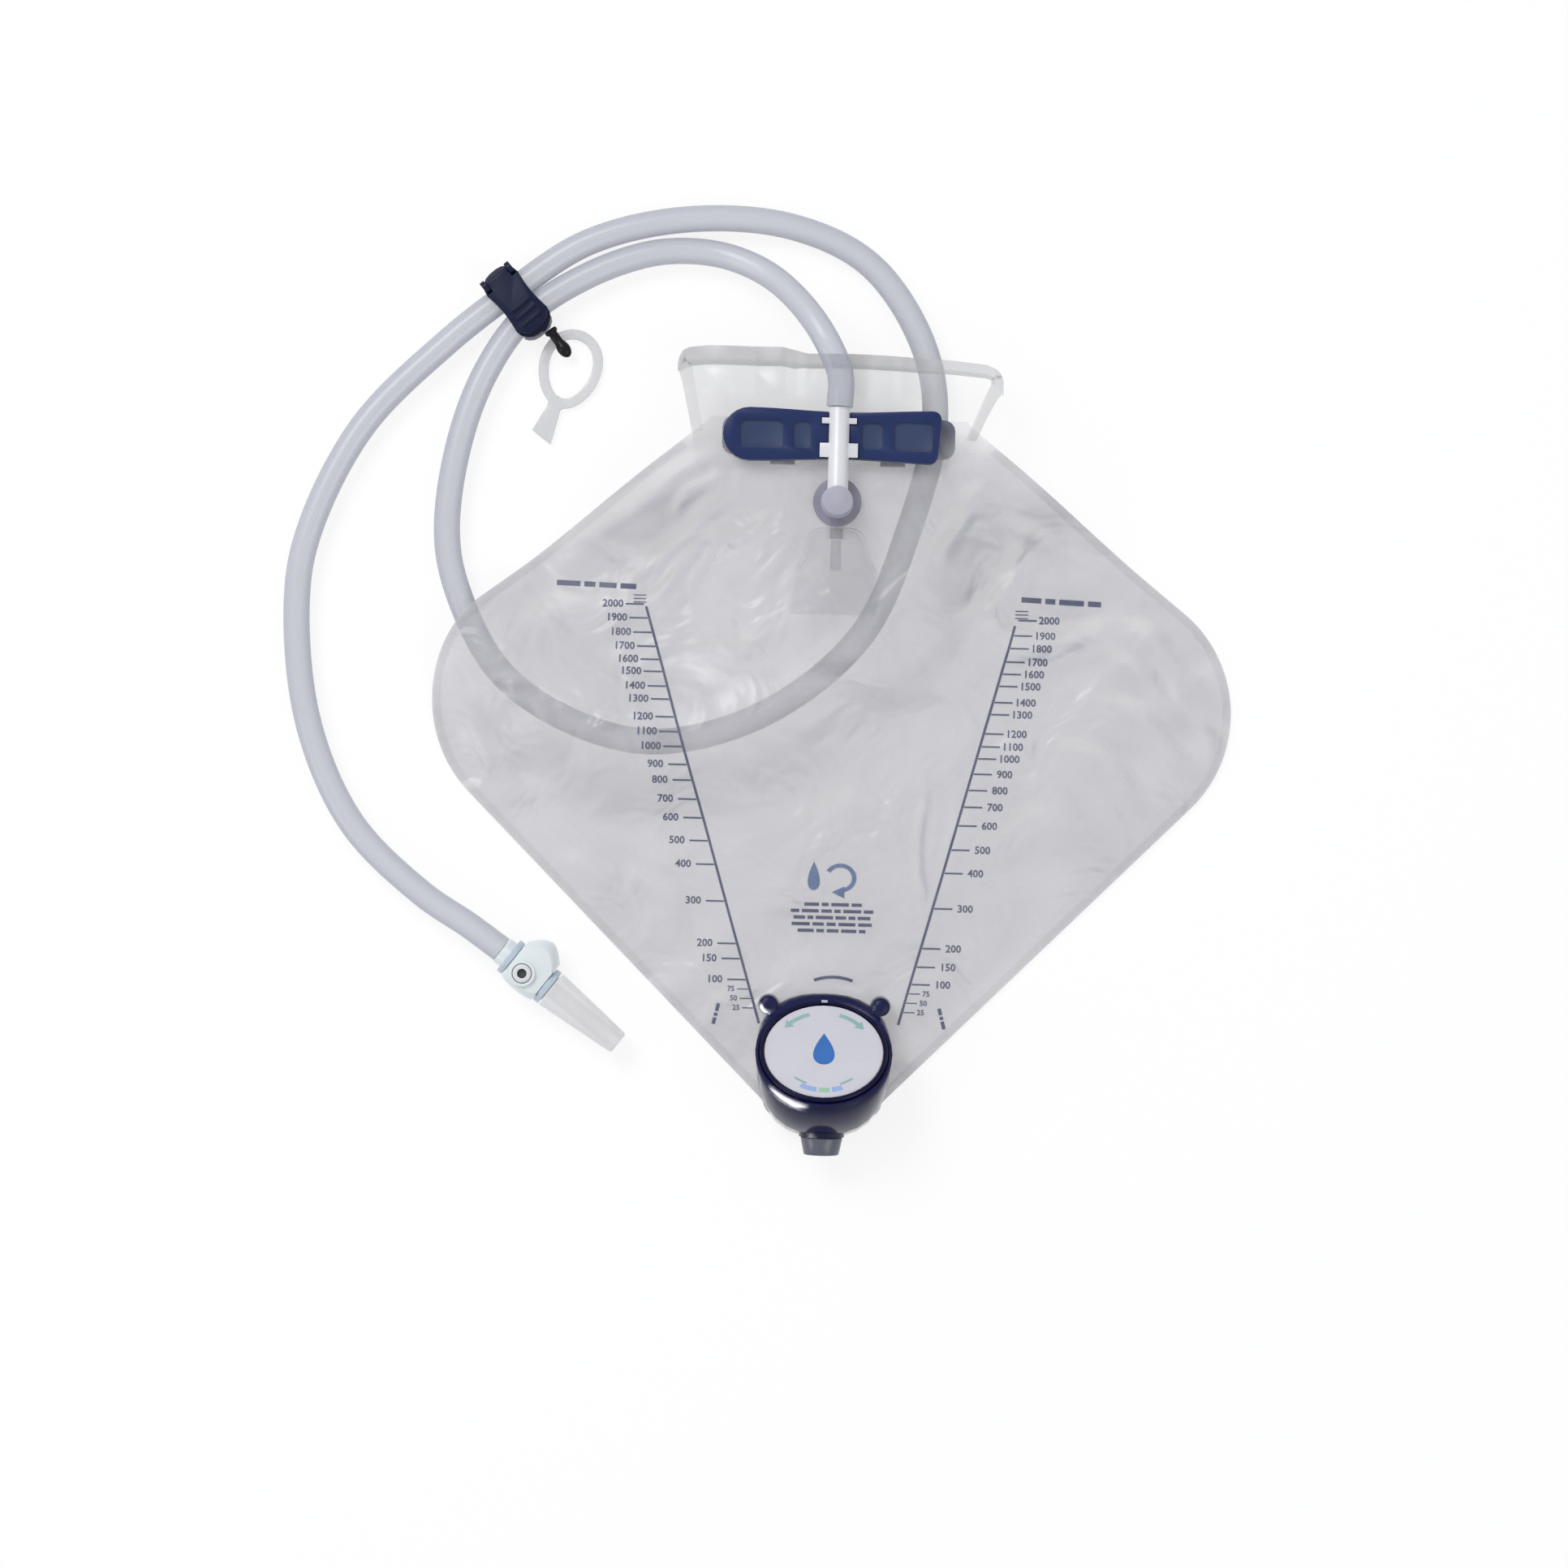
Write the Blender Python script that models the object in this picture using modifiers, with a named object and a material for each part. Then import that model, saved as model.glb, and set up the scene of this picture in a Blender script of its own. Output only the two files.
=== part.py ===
"""Urine drainage bag lying on its back: film bag, header, rail hanger, drip chamber,
drain tube with sheet clip and catheter connector, and a quarter-turn drain valve.

Metres, +X to the bag's right, +Y towards the hanger, +Z out of the bag's front.
The origin lies on the table under the middle of the bag.
"""

import math

import bmesh
import bpy
import numpy as np
from mathutils import Matrix, Vector

# Clearance kept between pieces that touch
GAP = 0.0003

# Film bag
FILM = 0.0004
WELD_GAP = 0.00035
BAG_TOP = 0.118
BAG_BOTTOM = -0.1365
BAG_TOP_HALF = 0.046
BAG_HALF_WIDTH = 0.145
BAG_SIDE_RADIUS = 0.0478
BAG_SHOULDER = (0.0506, 0.1136)
BAG_HIP = (0.0278, -0.1222)
UPPER_SLOPE = -0.895
LOWER_SLOPE = 1.0
BAG_FOOT_HALF = 0.0215
BAG_FOOT_RADIUS = 0.0140
BAG_FOOT_DEPTH = 0.0080
BAG_PUFF = 0.006
PUFF_REACH = 0.060
WELD = 0.003
EDGE_SLANT = 0.72
VALVE_FLAT = 0.036
VALVE_FADE = 0.024
TUNNEL_HALF = 0.025
TUNNEL_FADE = 0.030
TUNNEL_START = 0.010
TUNNEL_RISE = 0.034
TUNNEL_SPILL = 0.010
FOOT_ROWS_TOP = -0.122
WELD_TOP = 0.099
RAMP_START = 0.064
RAMP_END = 0.103

# Rail hooks and the hanger that clamps the header
HOOK_WALL = 0.0028
RAIL_GAP = 0.0135
BACK_PLATE = 0.0025
BACK_PLATE_LENGTH = 0.0836
BACK_PLATE_HEIGHT = 0.0140
HOOK_WIDTH = 0.0090
HOOK_SPACING = 0.0400
HOOK_DROP = 0.0155
HANGER_Y = 0.1114
BAR_LEFT = -0.0414
BAR_RIGHT = 0.0365
BAR_HEIGHT = 0.0188
BAR_WAIST = 0.0165
BAR_THICK = 0.0060
BAR_END_RADIUS = 0.0030
BAR_RECESS = 0.0010
STUD_RADIUS = 0.0022
STUD_X = (-0.0270, 0.0250)
STUD_DEPTH = 0.0030
SADDLE_WALL = 0.0016
WING_DROP = 0.0016
WING_SEATS = (("lower_wings", 0.0068, 0.1035, 0.1085), ("upper_wings", 0.0062, 0.1155, 0.1175))

# Header sheet and its folded hem
HEADER = 0.0006
HEADER_TOP_HALF = 0.0590
HEADER_BOTTOM_HALF = 0.0515
HEADER_TOP = 0.1395
HEADER_SHOULDER = 0.1140
HEADER_BOTTOM = 0.0990
HEM = 0.0006
HEM_WIDTH = 0.0052

# Inlet elbow and drip chamber
TURRET_Y = 0.0880
FLANGE_RADIUS = 0.0087
FLANGE = 0.0012
TURRET_RADIUS = 0.0060
STEM_RADIUS = 0.0037
STEM_BORE = 0.0024
STEM_TOP = 0.1214
PORT_HOLE = 0.0042
CHAMBER_DEPTH = 0.0064
CHAMBER_WALL = 0.0010
CHAMBER_BOTTOM = 0.0480
CHAMBER_NECK_HALF = 0.0110
CHAMBER_MOUTH_HALF = 0.0160
CAP_DISC = 0.0010
NOZZLE = 0.0036
NOZZLE_HALF = 0.0036
DUCKBILL_RADIUS = 0.0018
DUCKBILL_LENGTH = 0.0110

# Drain tube
TUBE = 0.0095
TUBE_POINTS = 64
TUBE_LEAD = 0.0045
UNDER_BAG = 0.0126
DRAPE = 0.0340

# Sheet clip on the tube
CLIP_CENTRE = (-0.1170, 0.1581)
CLIP_TURN = math.radians(-49.0)
CLIP_LENGTH = 0.0278
CLIP_BREADTH = 0.0142
CLIP_WAIST = 0.0126
CLIP_CORNER = 0.40
TUBE_PITCH = 0.0100
CLIP_ROOF = 0.0022
CLIP_SLACK = 0.0012
JAW_THICK = 0.0026
JAW_LENGTH = 0.0250
JAW_PIN = 0.0013
LUG_IN = 0.0030
LUG_RADIUS = 0.0024
LUG_THICK = 0.0018
JAW_ROOM = 0.0006
RIB_FIRST = 0.0015
RIB_PITCH = 0.0032
RIB_WIDTH = 0.0012
RIB_HALF = 0.0042
RIB_HEIGHT = 0.0005

# Bead and strap that hang from the clip
BEAD_NECK = 0.0017
BEAD_RADIUS = 0.0024
BEAD_HALF = 0.0036
BEAD_AT = 0.0084
BEAD_FOOT = 0.0024
BEAD_HEIGHT = 0.0040
BEAD_START = (0.0006, 0.0028)
BEAD_AIM = (1.0, -0.06, 0.0)
STRAP = 0.0018
STRAP_WIDTH = 0.0036
STRAP_CENTRE = (-0.0980, 0.1352)
STRAP_TURN = math.radians(-14.0)
STRAP_HALVES = (0.0096, 0.0128)
STRAP_TAIL = ((-0.0044, -0.0148), (-0.0073, -0.0249), (0.0005, -0.0282), (0.0006, -0.0152))

# Catheter connector, along its own axis from the end of the tube
JOINT_POINT = (-0.1172, -0.0757)
JOINT_TURN = math.radians(-37.4)
JOINT_HEIGHT = 0.0071
GRIP_LENGTH = 0.0140
GRIP_HALF = 0.0101
GRIP_LEANS = (0.84, 1.34)
COLLAR_AT = 0.0030
COLLAR_GROOVE = 0.0012
SOCKET_RADIUS = 0.0067
COLLAR_RADIUS = 0.0070
COLLAR = 0.0022
PORT_AT = 0.0113
PORT_ASIDE = 0.0016
PORT_ROOT = 0.0010
PORT_DRAFT = 0.0004
PORT_RADIUS = 0.0046
PORT_TOP = 0.0152
SEPTUM_RADIUS = 0.0034
SEPTUM_SUNK = 0.0030
SEPTUM_RISE = 0.0030
SEPTUM_CHAMFER = (0.0006, 0.0004)
SEPTUM_MOUTH = (0.0016, 0.0012)
SEPTUM_FLOOR = (0.0018, 0.0015)
CONE_END = 0.0541
CONE_LIP = 0.0016
CONE_RADII = (0.0069, 0.0043)
CONE_BORE = 0.0031
CONE_EDGE = 0.0003

# Drain valve
VALVE_Y = -0.1091
VALVE_TILT = math.radians(43.0)
RIM_RADIUS = 0.0246
KNOB_OUTER = 0.0231
DIAL = 0.0010
KNOB_DEPTH = 0.0042
KNOB_PROUD = 0.0014
KNOB_WALL = 0.0014
KNOB_NOTCH = 0.0038
RIM_LOW = 0.0030
VALVE_BASE_HALF = 0.0243
VALVE_BASE_TOP = -0.0890
VALVE_BASE_BOTTOM = -0.1410
VALVE_SHOULDER = 2.4
VALVE_FOOT = 2.6
VALVE_BOW = 1.6
EAR_RADIUS = 0.0038
EAR_X = 0.0203
EAR_Y = -0.0932
EAR_DRAFT = 0.0006
EAR_HEIGHT = 0.0060
SPINDLE_RADIUS = 0.0058
SPINDLE_LENGTH = 0.0095
SPINDLE_SEAL_AT = 0.0069
SPINDLE_WAY = 0.0026
SPINDLE_PORT = 0.0016
SEAL_CORD = 0.0009
SPOUT_HEIGHT = 0.0125
SPOUT_RADII = (0.0076, 0.0063)
SPOUT_BORE = 0.0041
SPOUT_REACH = 0.0055
SPOUT_SOCKET = 0.0040
SPOUT_WALL = 0.0012
BOSS_SHORT = 0.0010
BOSS_LENGTH = 0.0180
BOSS_WALL = 0.0006
OUTLET_RADIUS = 0.0120
OUTLET_DISC = 0.0009
OUTLET_NECK = 0.0045
OUTLET_BORE = 0.0030
INLET_WAY = 0.0095

# Heights that follow from the stack of layers at the hanger
PLATE_BACK = HOOK_WALL + RAIL_GAP
PLATE_FRONT = PLATE_BACK + BACK_PLATE
TOP_BACK_FILM = PLATE_FRONT + GAP + FILM / 2
FILM_PITCH = FILM + WELD_GAP
TOP_FRONT_FILM = TOP_BACK_FILM + FILM_PITCH
HEADER_BACK = TOP_FRONT_FILM + FILM / 2 + GAP
HEADER_FRONT = HEADER_BACK + HEADER
BAR_BACK = HEADER_FRONT + GAP
BAR_FRONT = BAR_BACK + BAR_THICK
LOW_FILM = FILM / 2 + 0.0001
STEM_HEIGHT = BAR_BACK + SADDLE_WALL + GAP + STEM_RADIUS
FLANGE_BACK = TOP_FRONT_FILM + FILM / 2 + GAP
CHAMBER_FRONT = TOP_FRONT_FILM - FILM / 2 - GAP
CHAMBER_TOP = TURRET_Y - FLANGE_RADIUS - GAP
TUBE_REST = TUBE / 2 + 0.00005
VALVE_FILM = LOW_FILM + FILM + 2 * GAP + OUTLET_DISC
VALVE_BACK = VALVE_FILM + FILM / 2 + GAP
RIM_CENTRE = Vector((0.0, VALVE_Y, VALVE_BACK + RIM_LOW + RIM_RADIUS * math.sin(VALVE_TILT)))
RIM_AXIS = Vector((0.0, math.sin(VALVE_TILT), math.cos(VALVE_TILT)))
SPOUT_END = VALVE_BASE_BOTTOM - SPOUT_REACH
BOSS_END = VALVE_BASE_BOTTOM + BOSS_SHORT
SPINDLE_SUNK = KNOB_DEPTH - KNOB_PROUD + GAP + SPINDLE_LENGTH
SPOUT_WAY_START = RIM_CENTRE.y - RIM_AXIS.y * SPINDLE_SUNK
CENTRE_SHIFT = -(SPOUT_END + HEADER_TOP) / 2

# The tube's route: across, up the bag, and height of the tube's centre
TUBE_ROUTE = (
    (0.0000, STEM_TOP + GAP, STEM_HEIGHT),
    (0.0000, 0.1330, STEM_HEIGHT),
    (-0.0060, 0.1465, 0.0270),
    (-0.0161, 0.1605, 0.0195),
    (-0.0279, 0.1708, 0.0112),
    (-0.0421, 0.1770, 0.0060),
    (-0.0563, 0.1787, TUBE_REST),
    (-0.0707, 0.1771, TUBE_REST),
    (-0.0919, 0.1690, TUBE_REST),
    (-0.1137, 0.1543, TUBE_REST),
    (-0.1273, 0.1349, TUBE_REST),
    (-0.1367, 0.1093, TUBE_REST),
    (-0.1409, 0.0763, TUBE_REST),
    (-0.1371, 0.0555, TUBE_REST),
    (-0.1211, 0.0256, TUBE_REST),
    (-0.0954, 0.0080, TUBE_REST),
    (-0.0640, 0.0008, TUBE_REST),
    (-0.0249, 0.0117, TUBE_REST),
    (0.0097, 0.0405, TUBE_REST),
    (0.0262, 0.0792, TUBE_REST),
    (0.0349, 0.1191, TUBE_REST),
    (0.0298, 0.1469, TUBE_REST),
    (0.0100, 0.1753, TUBE_REST),
    (-0.0186, 0.1884, TUBE_REST),
    (-0.0569, 0.1901, TUBE_REST),
    (-0.0922, 0.1810, TUBE_REST),
    (-0.1203, 0.1618, TUBE_REST),
    (-0.1434, 0.1427, TUBE_REST),
    (-0.1726, 0.1120, TUBE_REST),
    (-0.1908, 0.0739, TUBE_REST),
    (-0.1946, 0.0488, TUBE_REST),
    (-0.1894, 0.0048, TUBE_REST),
    (-0.1730, -0.0310, TUBE_REST),
    (-0.1468, -0.0560, 0.0060),
    (-0.1293, -0.0672, 0.0069),
    (JOINT_POINT[0], JOINT_POINT[1], JOINT_HEIGHT),
)

# Points of the route between which the bag lies on the tube
UNDER_FIRST = 12
UNDER_LAST = 21


# Scene, materials and general shapes

def clear_scene():
    for item in list(bpy.data.objects):
        bpy.data.objects.remove(item, do_unlink=True)


clear_scene()
BAG = bpy.data.collections.new("urine_drainage_bag")
CUTTERS = bpy.data.collections.new("cutters")
bpy.context.scene.collection.children.link(BAG)
bpy.context.scene.collection.children.link(CUTTERS)


def plastic(name, colour, roughness=0.35, alpha=1.0):
    material = bpy.data.materials.new(name)
    material.use_nodes = True
    shader = material.node_tree.nodes["Principled BSDF"]
    shader.inputs["Base Color"].default_value = (*colour, 1.0)
    shader.inputs["Roughness"].default_value = roughness
    shader.inputs["Metallic"].default_value = 0.0
    shader.inputs["Alpha"].default_value = alpha
    material.diffuse_color = (*colour, alpha)
    return material


def milky(name, alpha=0.6):
    return plastic(name, (0.66, 0.66, 0.70), 0.30, alpha)


def clear(name, alpha=0.5):
    return plastic(name, (0.74, 0.77, 0.82), 0.15, alpha)


def navy(name, colour=(0.030, 0.045, 0.130)):
    return plastic(name, colour, 0.25)


def add_piece(name, mesh, material):
    piece = bpy.data.objects.new(name, mesh)
    BAG.objects.link(piece)
    mesh.materials.clear()
    mesh.materials.append(material)
    return piece


def add_cutter(name, mesh):
    cutter = bpy.data.objects.new(name, mesh)
    CUTTERS.objects.link(cutter)
    cutter.hide_render = True
    cutter.display_type = "WIRE"
    return cutter


def boolean(piece, cutter, operation="DIFFERENCE"):
    step = piece.modifiers.new(cutter.name, "BOOLEAN")
    step.operation = operation
    step.object = cutter
    step.solver = "EXACT"


def soften(piece, width, segments=2, angle=35.0):
    step = piece.modifiers.new("edges", "BEVEL")
    step.width = width
    step.segments = segments
    step.limit_method = "ANGLE"
    step.angle_limit = math.radians(angle)


def shade(piece, angle=35.0):
    mesh = piece.data
    mesh.shade_smooth()
    mesh.set_sharp_from_angle(angle=math.radians(angle))


def mesh_from(build, name):
    """A mesh filled by a function that works on a bmesh."""
    form = bmesh.new()
    build(form)
    bmesh.ops.recalc_face_normals(form, faces=form.faces)
    mesh = bpy.data.meshes.new(name)
    form.to_mesh(mesh)
    form.free()
    return mesh


def cone_mesh(name, radius_low, radius_high, length, segments=32, place=None):
    """A capped cone or cylinder, from its own origin up its +Z."""
    def build(form):
        bmesh.ops.create_cone(form, cap_ends=True, segments=segments, radius1=radius_low,
                              radius2=radius_high, depth=length,
                              matrix=Matrix.Translation((0, 0, length / 2)))
        if place is not None:
            bmesh.ops.transform(form, matrix=place, verts=form.verts)
    return mesh_from(build, name)


def box_mesh(name, low, high, place=None):
    size = [b - a for a, b in zip(low, high)]
    centre = [(a + b) / 2 for a, b in zip(low, high)]

    def build(form):
        matrix = Matrix.Translation(centre) @ Matrix.Diagonal((*size, 1.0))
        bmesh.ops.create_cube(form, size=1.0, matrix=matrix)
        if place is not None:
            bmesh.ops.transform(form, matrix=place, verts=form.verts)
    return mesh_from(build, name)


def frame_at(origin, axis, up=(0, 0, 1)):
    """A frame at origin whose +Z runs along axis and whose +Y leans towards up."""
    z = Vector(axis).normalized()
    x = Vector(up).cross(z).normalized()
    y = z.cross(x)
    frame = Matrix((x, y, z)).transposed().to_4x4()
    frame.translation = Vector(origin)
    return frame


def arc(centre, radius, start, end, steps):
    """Points along an arc, angles in degrees."""
    return [(centre[0] + radius * math.cos(math.radians(a)),
             centre[1] + radius * math.sin(math.radians(a)))
            for a in np.linspace(start, end, steps + 1)]


def rounded(corners, radius, steps=5):
    """A closed outline with every corner turned on one radius."""
    points = []
    count = len(corners)
    for index, corner in enumerate(corners):
        here = Vector(corner)
        back = (Vector(corners[index - 1]) - here).normalized()
        ahead = (Vector(corners[(index + 1) % count]) - here).normalized()
        half = back.angle(ahead) / 2
        reach = radius / math.tan(half)
        centre = here + (back + ahead).normalized() * radius / math.sin(half)
        first = (here + back * reach - centre).normalized()
        last = (here + ahead * reach - centre).normalized()
        for step in range(steps + 1):
            points.append(tuple(centre + first.slerp(last, step / steps) * radius))
    return points


def prism_mesh(name, loops, low, high, place=None):
    """A flat outline, with any holes as further loops, given its thickness."""
    curve = bpy.data.curves.new(name + "_outline", "CURVE")
    curve.dimensions = "2D"
    curve.fill_mode = "BOTH"
    curve.extrude = (high - low) / 2
    for loop in loops:
        spline = curve.splines.new("POLY")
        spline.points.add(len(loop) - 1)
        for point, (x, y) in zip(spline.points, loop):
            point.co = (x, y, 0.0, 1.0)
        spline.use_cyclic_u = True
    outline = bpy.data.objects.new(name + "_outline", curve)
    CUTTERS.objects.link(outline)
    bpy.context.view_layer.update()
    graph = bpy.context.evaluated_depsgraph_get()
    mesh = bpy.data.meshes.new_from_object(outline.evaluated_get(graph))
    bpy.data.objects.remove(outline, do_unlink=True)
    form = bmesh.new()
    form.from_mesh(mesh)
    bmesh.ops.remove_doubles(form, verts=form.verts, dist=0.00001)
    bmesh.ops.translate(form, verts=form.verts, vec=(0, 0, (low + high) / 2))
    if place is not None:
        bmesh.ops.transform(form, matrix=place, verts=form.verts)
    bmesh.ops.recalc_face_normals(form, faces=form.faces)
    form.to_mesh(mesh)
    form.free()
    mesh.name = name
    return mesh


def turned(name, profile, material, place, steps=32, squash=1.0):
    """A profile of (radius, height) turned about its own +Z, from low end to high end."""
    def build(form):
        verts = [form.verts.new((radius, 0.0, height)) for radius, height in reversed(profile)]
        for a, b in zip(verts, verts[1:]):
            form.edges.new((a, b))
    mesh = bpy.data.meshes.new(name)
    form = bmesh.new()
    build(form)
    form.to_mesh(mesh)
    form.free()
    piece = add_piece(name, mesh, material)
    piece.matrix_world = place @ Matrix.Diagonal((1.0, squash, 1.0, 1.0))
    step = piece.modifiers.new("turn", "SCREW")
    step.axis = "Z"
    step.angle = math.tau
    step.screw_offset = 0.0
    step.steps = steps
    step.render_steps = steps
    step.use_merge_vertices = True
    step.merge_threshold = 0.00002
    step.use_smooth_shade = True
    return piece


def evaluated_mesh(piece):
    """The piece's finished mesh as a fresh one, in the scene's own frame."""
    bpy.context.view_layer.update()
    graph = bpy.context.evaluated_depsgraph_get()
    mesh = bpy.data.meshes.new_from_object(piece.evaluated_get(graph))
    mesh.transform(piece.matrix_world)
    return mesh


def settle(piece):
    """Turn a piece's modifiers and place into its mesh, so that it can be cut again."""
    mesh = evaluated_mesh(piece)
    form = bmesh.new()
    form.from_mesh(mesh)
    bmesh.ops.remove_doubles(form, verts=form.verts, dist=0.00001)
    bmesh.ops.recalc_face_normals(form, faces=form.faces)
    form.to_mesh(mesh)
    form.free()
    piece.modifiers.clear()
    piece.data = mesh
    piece.matrix_world = Matrix.Identity(4)


# Tube route

def smooth_route(points, count):
    """Points on a centripetal spline through the route: a short straight lead, then even."""
    route = [Vector(p) for p in points]
    ends = [2 * route[0] - route[1]] + route + [2 * route[-1] - route[-2]]
    fine = []
    for a, b, c, d in zip(ends, ends[1:], ends[2:], ends[3:]):
        knots = [0.0]
        for p, q in ((a, b), (b, c), (c, d)):
            knots.append(knots[-1] + max((q - p).length, 1e-6) ** 0.5)
        for step in range(12):
            t = knots[1] + (knots[2] - knots[1]) * step / 12
            fine.append(spline_point((a, b, c, d), knots, t))
    fine.append(route[-1])
    reach = [0.0]
    for p, q in zip(fine, fine[1:]):
        reach.append(reach[-1] + (q - p).length)
    grid = np.concatenate(([0.0], np.linspace(TUBE_LEAD, reach[-1], count - 1)))
    axes = [np.interp(grid, reach, [p[k] for p in fine]) for k in range(3)]
    return [Vector(p) for p in zip(*axes)]


def spline_point(points, knots, t):
    """One point of the spline by repeated blending between its knots."""
    level = list(points)
    for order in (1, 2, 3):
        following = []
        for index in range(4 - order):
            low = knots[index]
            high = knots[index + order]
            if order == 3:
                low, high = knots[1], knots[2]
            if order == 2:
                low, high = knots[index], knots[index + 2]
            share = (t - low) / (high - low)
            following.append(level[index].lerp(level[index + 1], share))
        level = following
    return level[0]


TUBE_LINE = smooth_route(TUBE_ROUTE, TUBE_POINTS)


# Film bag

def smoothstep(value):
    t = min(max(value, 0.0), 1.0)
    return t * t * (3 - 2 * t)


def bag_half_width(y):
    """Half the bag's width at height y: slanted edges, round side corners, round foot."""
    upper_angle = math.atan(-UPPER_SLOPE)
    lower_angle = math.atan(LOWER_SLOPE)
    centre_x = BAG_HALF_WIDTH - BAG_SIDE_RADIUS
    shoulder_x, shoulder_y = BAG_SHOULDER
    hip_x, hip_y = BAG_HIP
    lower_x = centre_x + BAG_SIDE_RADIUS * math.sin(lower_angle)
    lower_y = hip_y + (lower_x - hip_x) * LOWER_SLOPE
    centre_y = lower_y + BAG_SIDE_RADIUS * math.cos(lower_angle)
    upper_y = centre_y + BAG_SIDE_RADIUS * math.cos(upper_angle)
    upper_x = centre_x + BAG_SIDE_RADIUS * math.sin(upper_angle)
    if y >= upper_y:
        slope = (shoulder_x - upper_x) / (shoulder_y - upper_y)
        return max(upper_x + (y - upper_y) * slope, BAG_TOP_HALF)
    if y >= lower_y:
        return centre_x + math.sqrt(max(BAG_SIDE_RADIUS ** 2 - (y - centre_y) ** 2, 0.0))
    foot_y = BAG_BOTTOM + BAG_FOOT_DEPTH
    if y >= foot_y:
        return max(hip_x + (y - hip_y) / LOWER_SLOPE, BAG_FOOT_HALF)
    drop = (foot_y - y) / BAG_FOOT_DEPTH
    inner = BAG_FOOT_HALF - BAG_FOOT_RADIUS
    return inner + BAG_FOOT_RADIUS * math.sqrt(max(1 - drop ** 2, 0.0))


def distance_to_tube(x, y):
    """How far a place on the bag is from the tube that runs beneath it."""
    first = Vector(TUBE_ROUTE[UNDER_FIRST])
    last = Vector(TUBE_ROUTE[UNDER_LAST])
    start = min(range(TUBE_POINTS), key=lambda i: (TUBE_LINE[i] - first).length)
    end = min(range(TUBE_POINTS), key=lambda i: (TUBE_LINE[i] - last).length)
    place = Vector((x, y))
    best = 1.0
    for p, q in zip(TUBE_LINE[start:end], TUBE_LINE[start + 1:end + 1]):
        a = Vector(p.xy)
        run = Vector(q.xy) - a
        share = min(max((place - a).dot(run) / run.length_squared, 0.0), 1.0)
        best = min(best, (place - a - run * share).length)
    return best


def back_film_height(x, y):
    """The back film lies on the table, climbs to the hanger and drapes over the tube."""
    lift = smoothstep((y - RAMP_START) / (RAMP_END - RAMP_START))
    base = LOW_FILM + (TOP_BACK_FILM - LOW_FILM) * lift
    near = min(distance_to_tube(x, y) / DRAPE, 1.0)
    hump = 0.5 + 0.5 * math.cos(math.pi * near)
    return base + max(UNDER_BAG - base, 0.0) * hump


def front_film_height(x, y):
    """The front film is welded round the edge and stands a little off the back film."""
    back = back_film_height(x, y)
    inset = min((bag_half_width(y) - abs(x)) * EDGE_SLANT, y - BAG_BOTTOM, WELD_TOP - y)
    share = min(max((inset - WELD) / PUFF_REACH, 0.0), 1.0)
    dome = BAG_PUFF * (1 - (1 - share) ** 2)
    from_valve = math.hypot(x, y - VALVE_Y)
    at_valve = 1 - smoothstep((from_valve - VALVE_FLAT) / VALVE_FADE)
    parted = VALVE_FILM - LOW_FILM - FILM_PITCH
    dome = min(dome, parted) * at_valve + dome * (1 - at_valve)
    height = back + FILM_PITCH + dome
    across = 1 - smoothstep((abs(x) - TUNNEL_HALF) / TUNNEL_FADE)
    along = smoothstep((y - TUNNEL_START) / TUNNEL_RISE)
    if height < TOP_FRONT_FILM and y < WELD_TOP + TUNNEL_SPILL:
        height += (TOP_FRONT_FILM - height) * across * along
    return height


def film(name, height, columns=22):
    """A welded film: a grid drawn to the bag's outline, then given its thickness."""
    rows = np.concatenate((np.linspace(BAG_BOTTOM, FOOT_ROWS_TOP, 4),
                           np.linspace(FOOT_ROWS_TOP, RAMP_END, 23)[1:],
                           np.linspace(RAMP_END, BAG_TOP, 3)[1:]))

    def build(form):
        bmesh.ops.create_grid(form, x_segments=columns, y_segments=len(rows) - 1, size=1.0)
        for vert in form.verts:
            row = round((vert.co.y + 1) / 2 * (len(rows) - 1))
            y = float(rows[row])
            x = vert.co.x * bag_half_width(y)
            vert.co = (x, y, height(x, y))
    piece = add_piece(name, mesh_from(build, name), milky(name))
    wall = piece.modifiers.new("film", "SOLIDIFY")
    wall.thickness = FILM
    wall.offset = 0.0
    settle(piece)
    for x in STUD_X:
        boolean(piece, stud_hole(x))
    return piece


def stud_hole(x):
    name = "stud_hole_left" if x < 0 else "stud_hole_right"
    if name in bpy.data.objects:
        return bpy.data.objects[name]
    place = Matrix.Translation((x, HANGER_Y, PLATE_FRONT + GAP / 2))
    depth = BAR_BACK + STUD_DEPTH + GAP - PLATE_FRONT - GAP / 2
    radius = STUD_RADIUS + GAP
    return add_cutter(name, cone_mesh(name, radius, radius, depth, 20, place))


def films():
    film("back_film", back_film_height)
    front = film("front_film", front_film_height)
    place = Matrix.Translation((0, TURRET_Y, CHAMBER_FRONT - 5 * FILM))
    hole = cone_mesh("inlet_hole", PORT_HOLE, PORT_HOLE, 15 * FILM, 24, place)
    boolean(front, add_cutter("inlet_hole", hole))
    place = Matrix.Translation((0, VALVE_Y, VALVE_FILM - 2.5 * FILM))
    radius = OUTLET_NECK + GAP
    hole = cone_mesh("outlet_hole", radius, radius, 5 * FILM, 24, place)
    boolean(front, add_cutter("outlet_hole", hole))


# Header sheet

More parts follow.
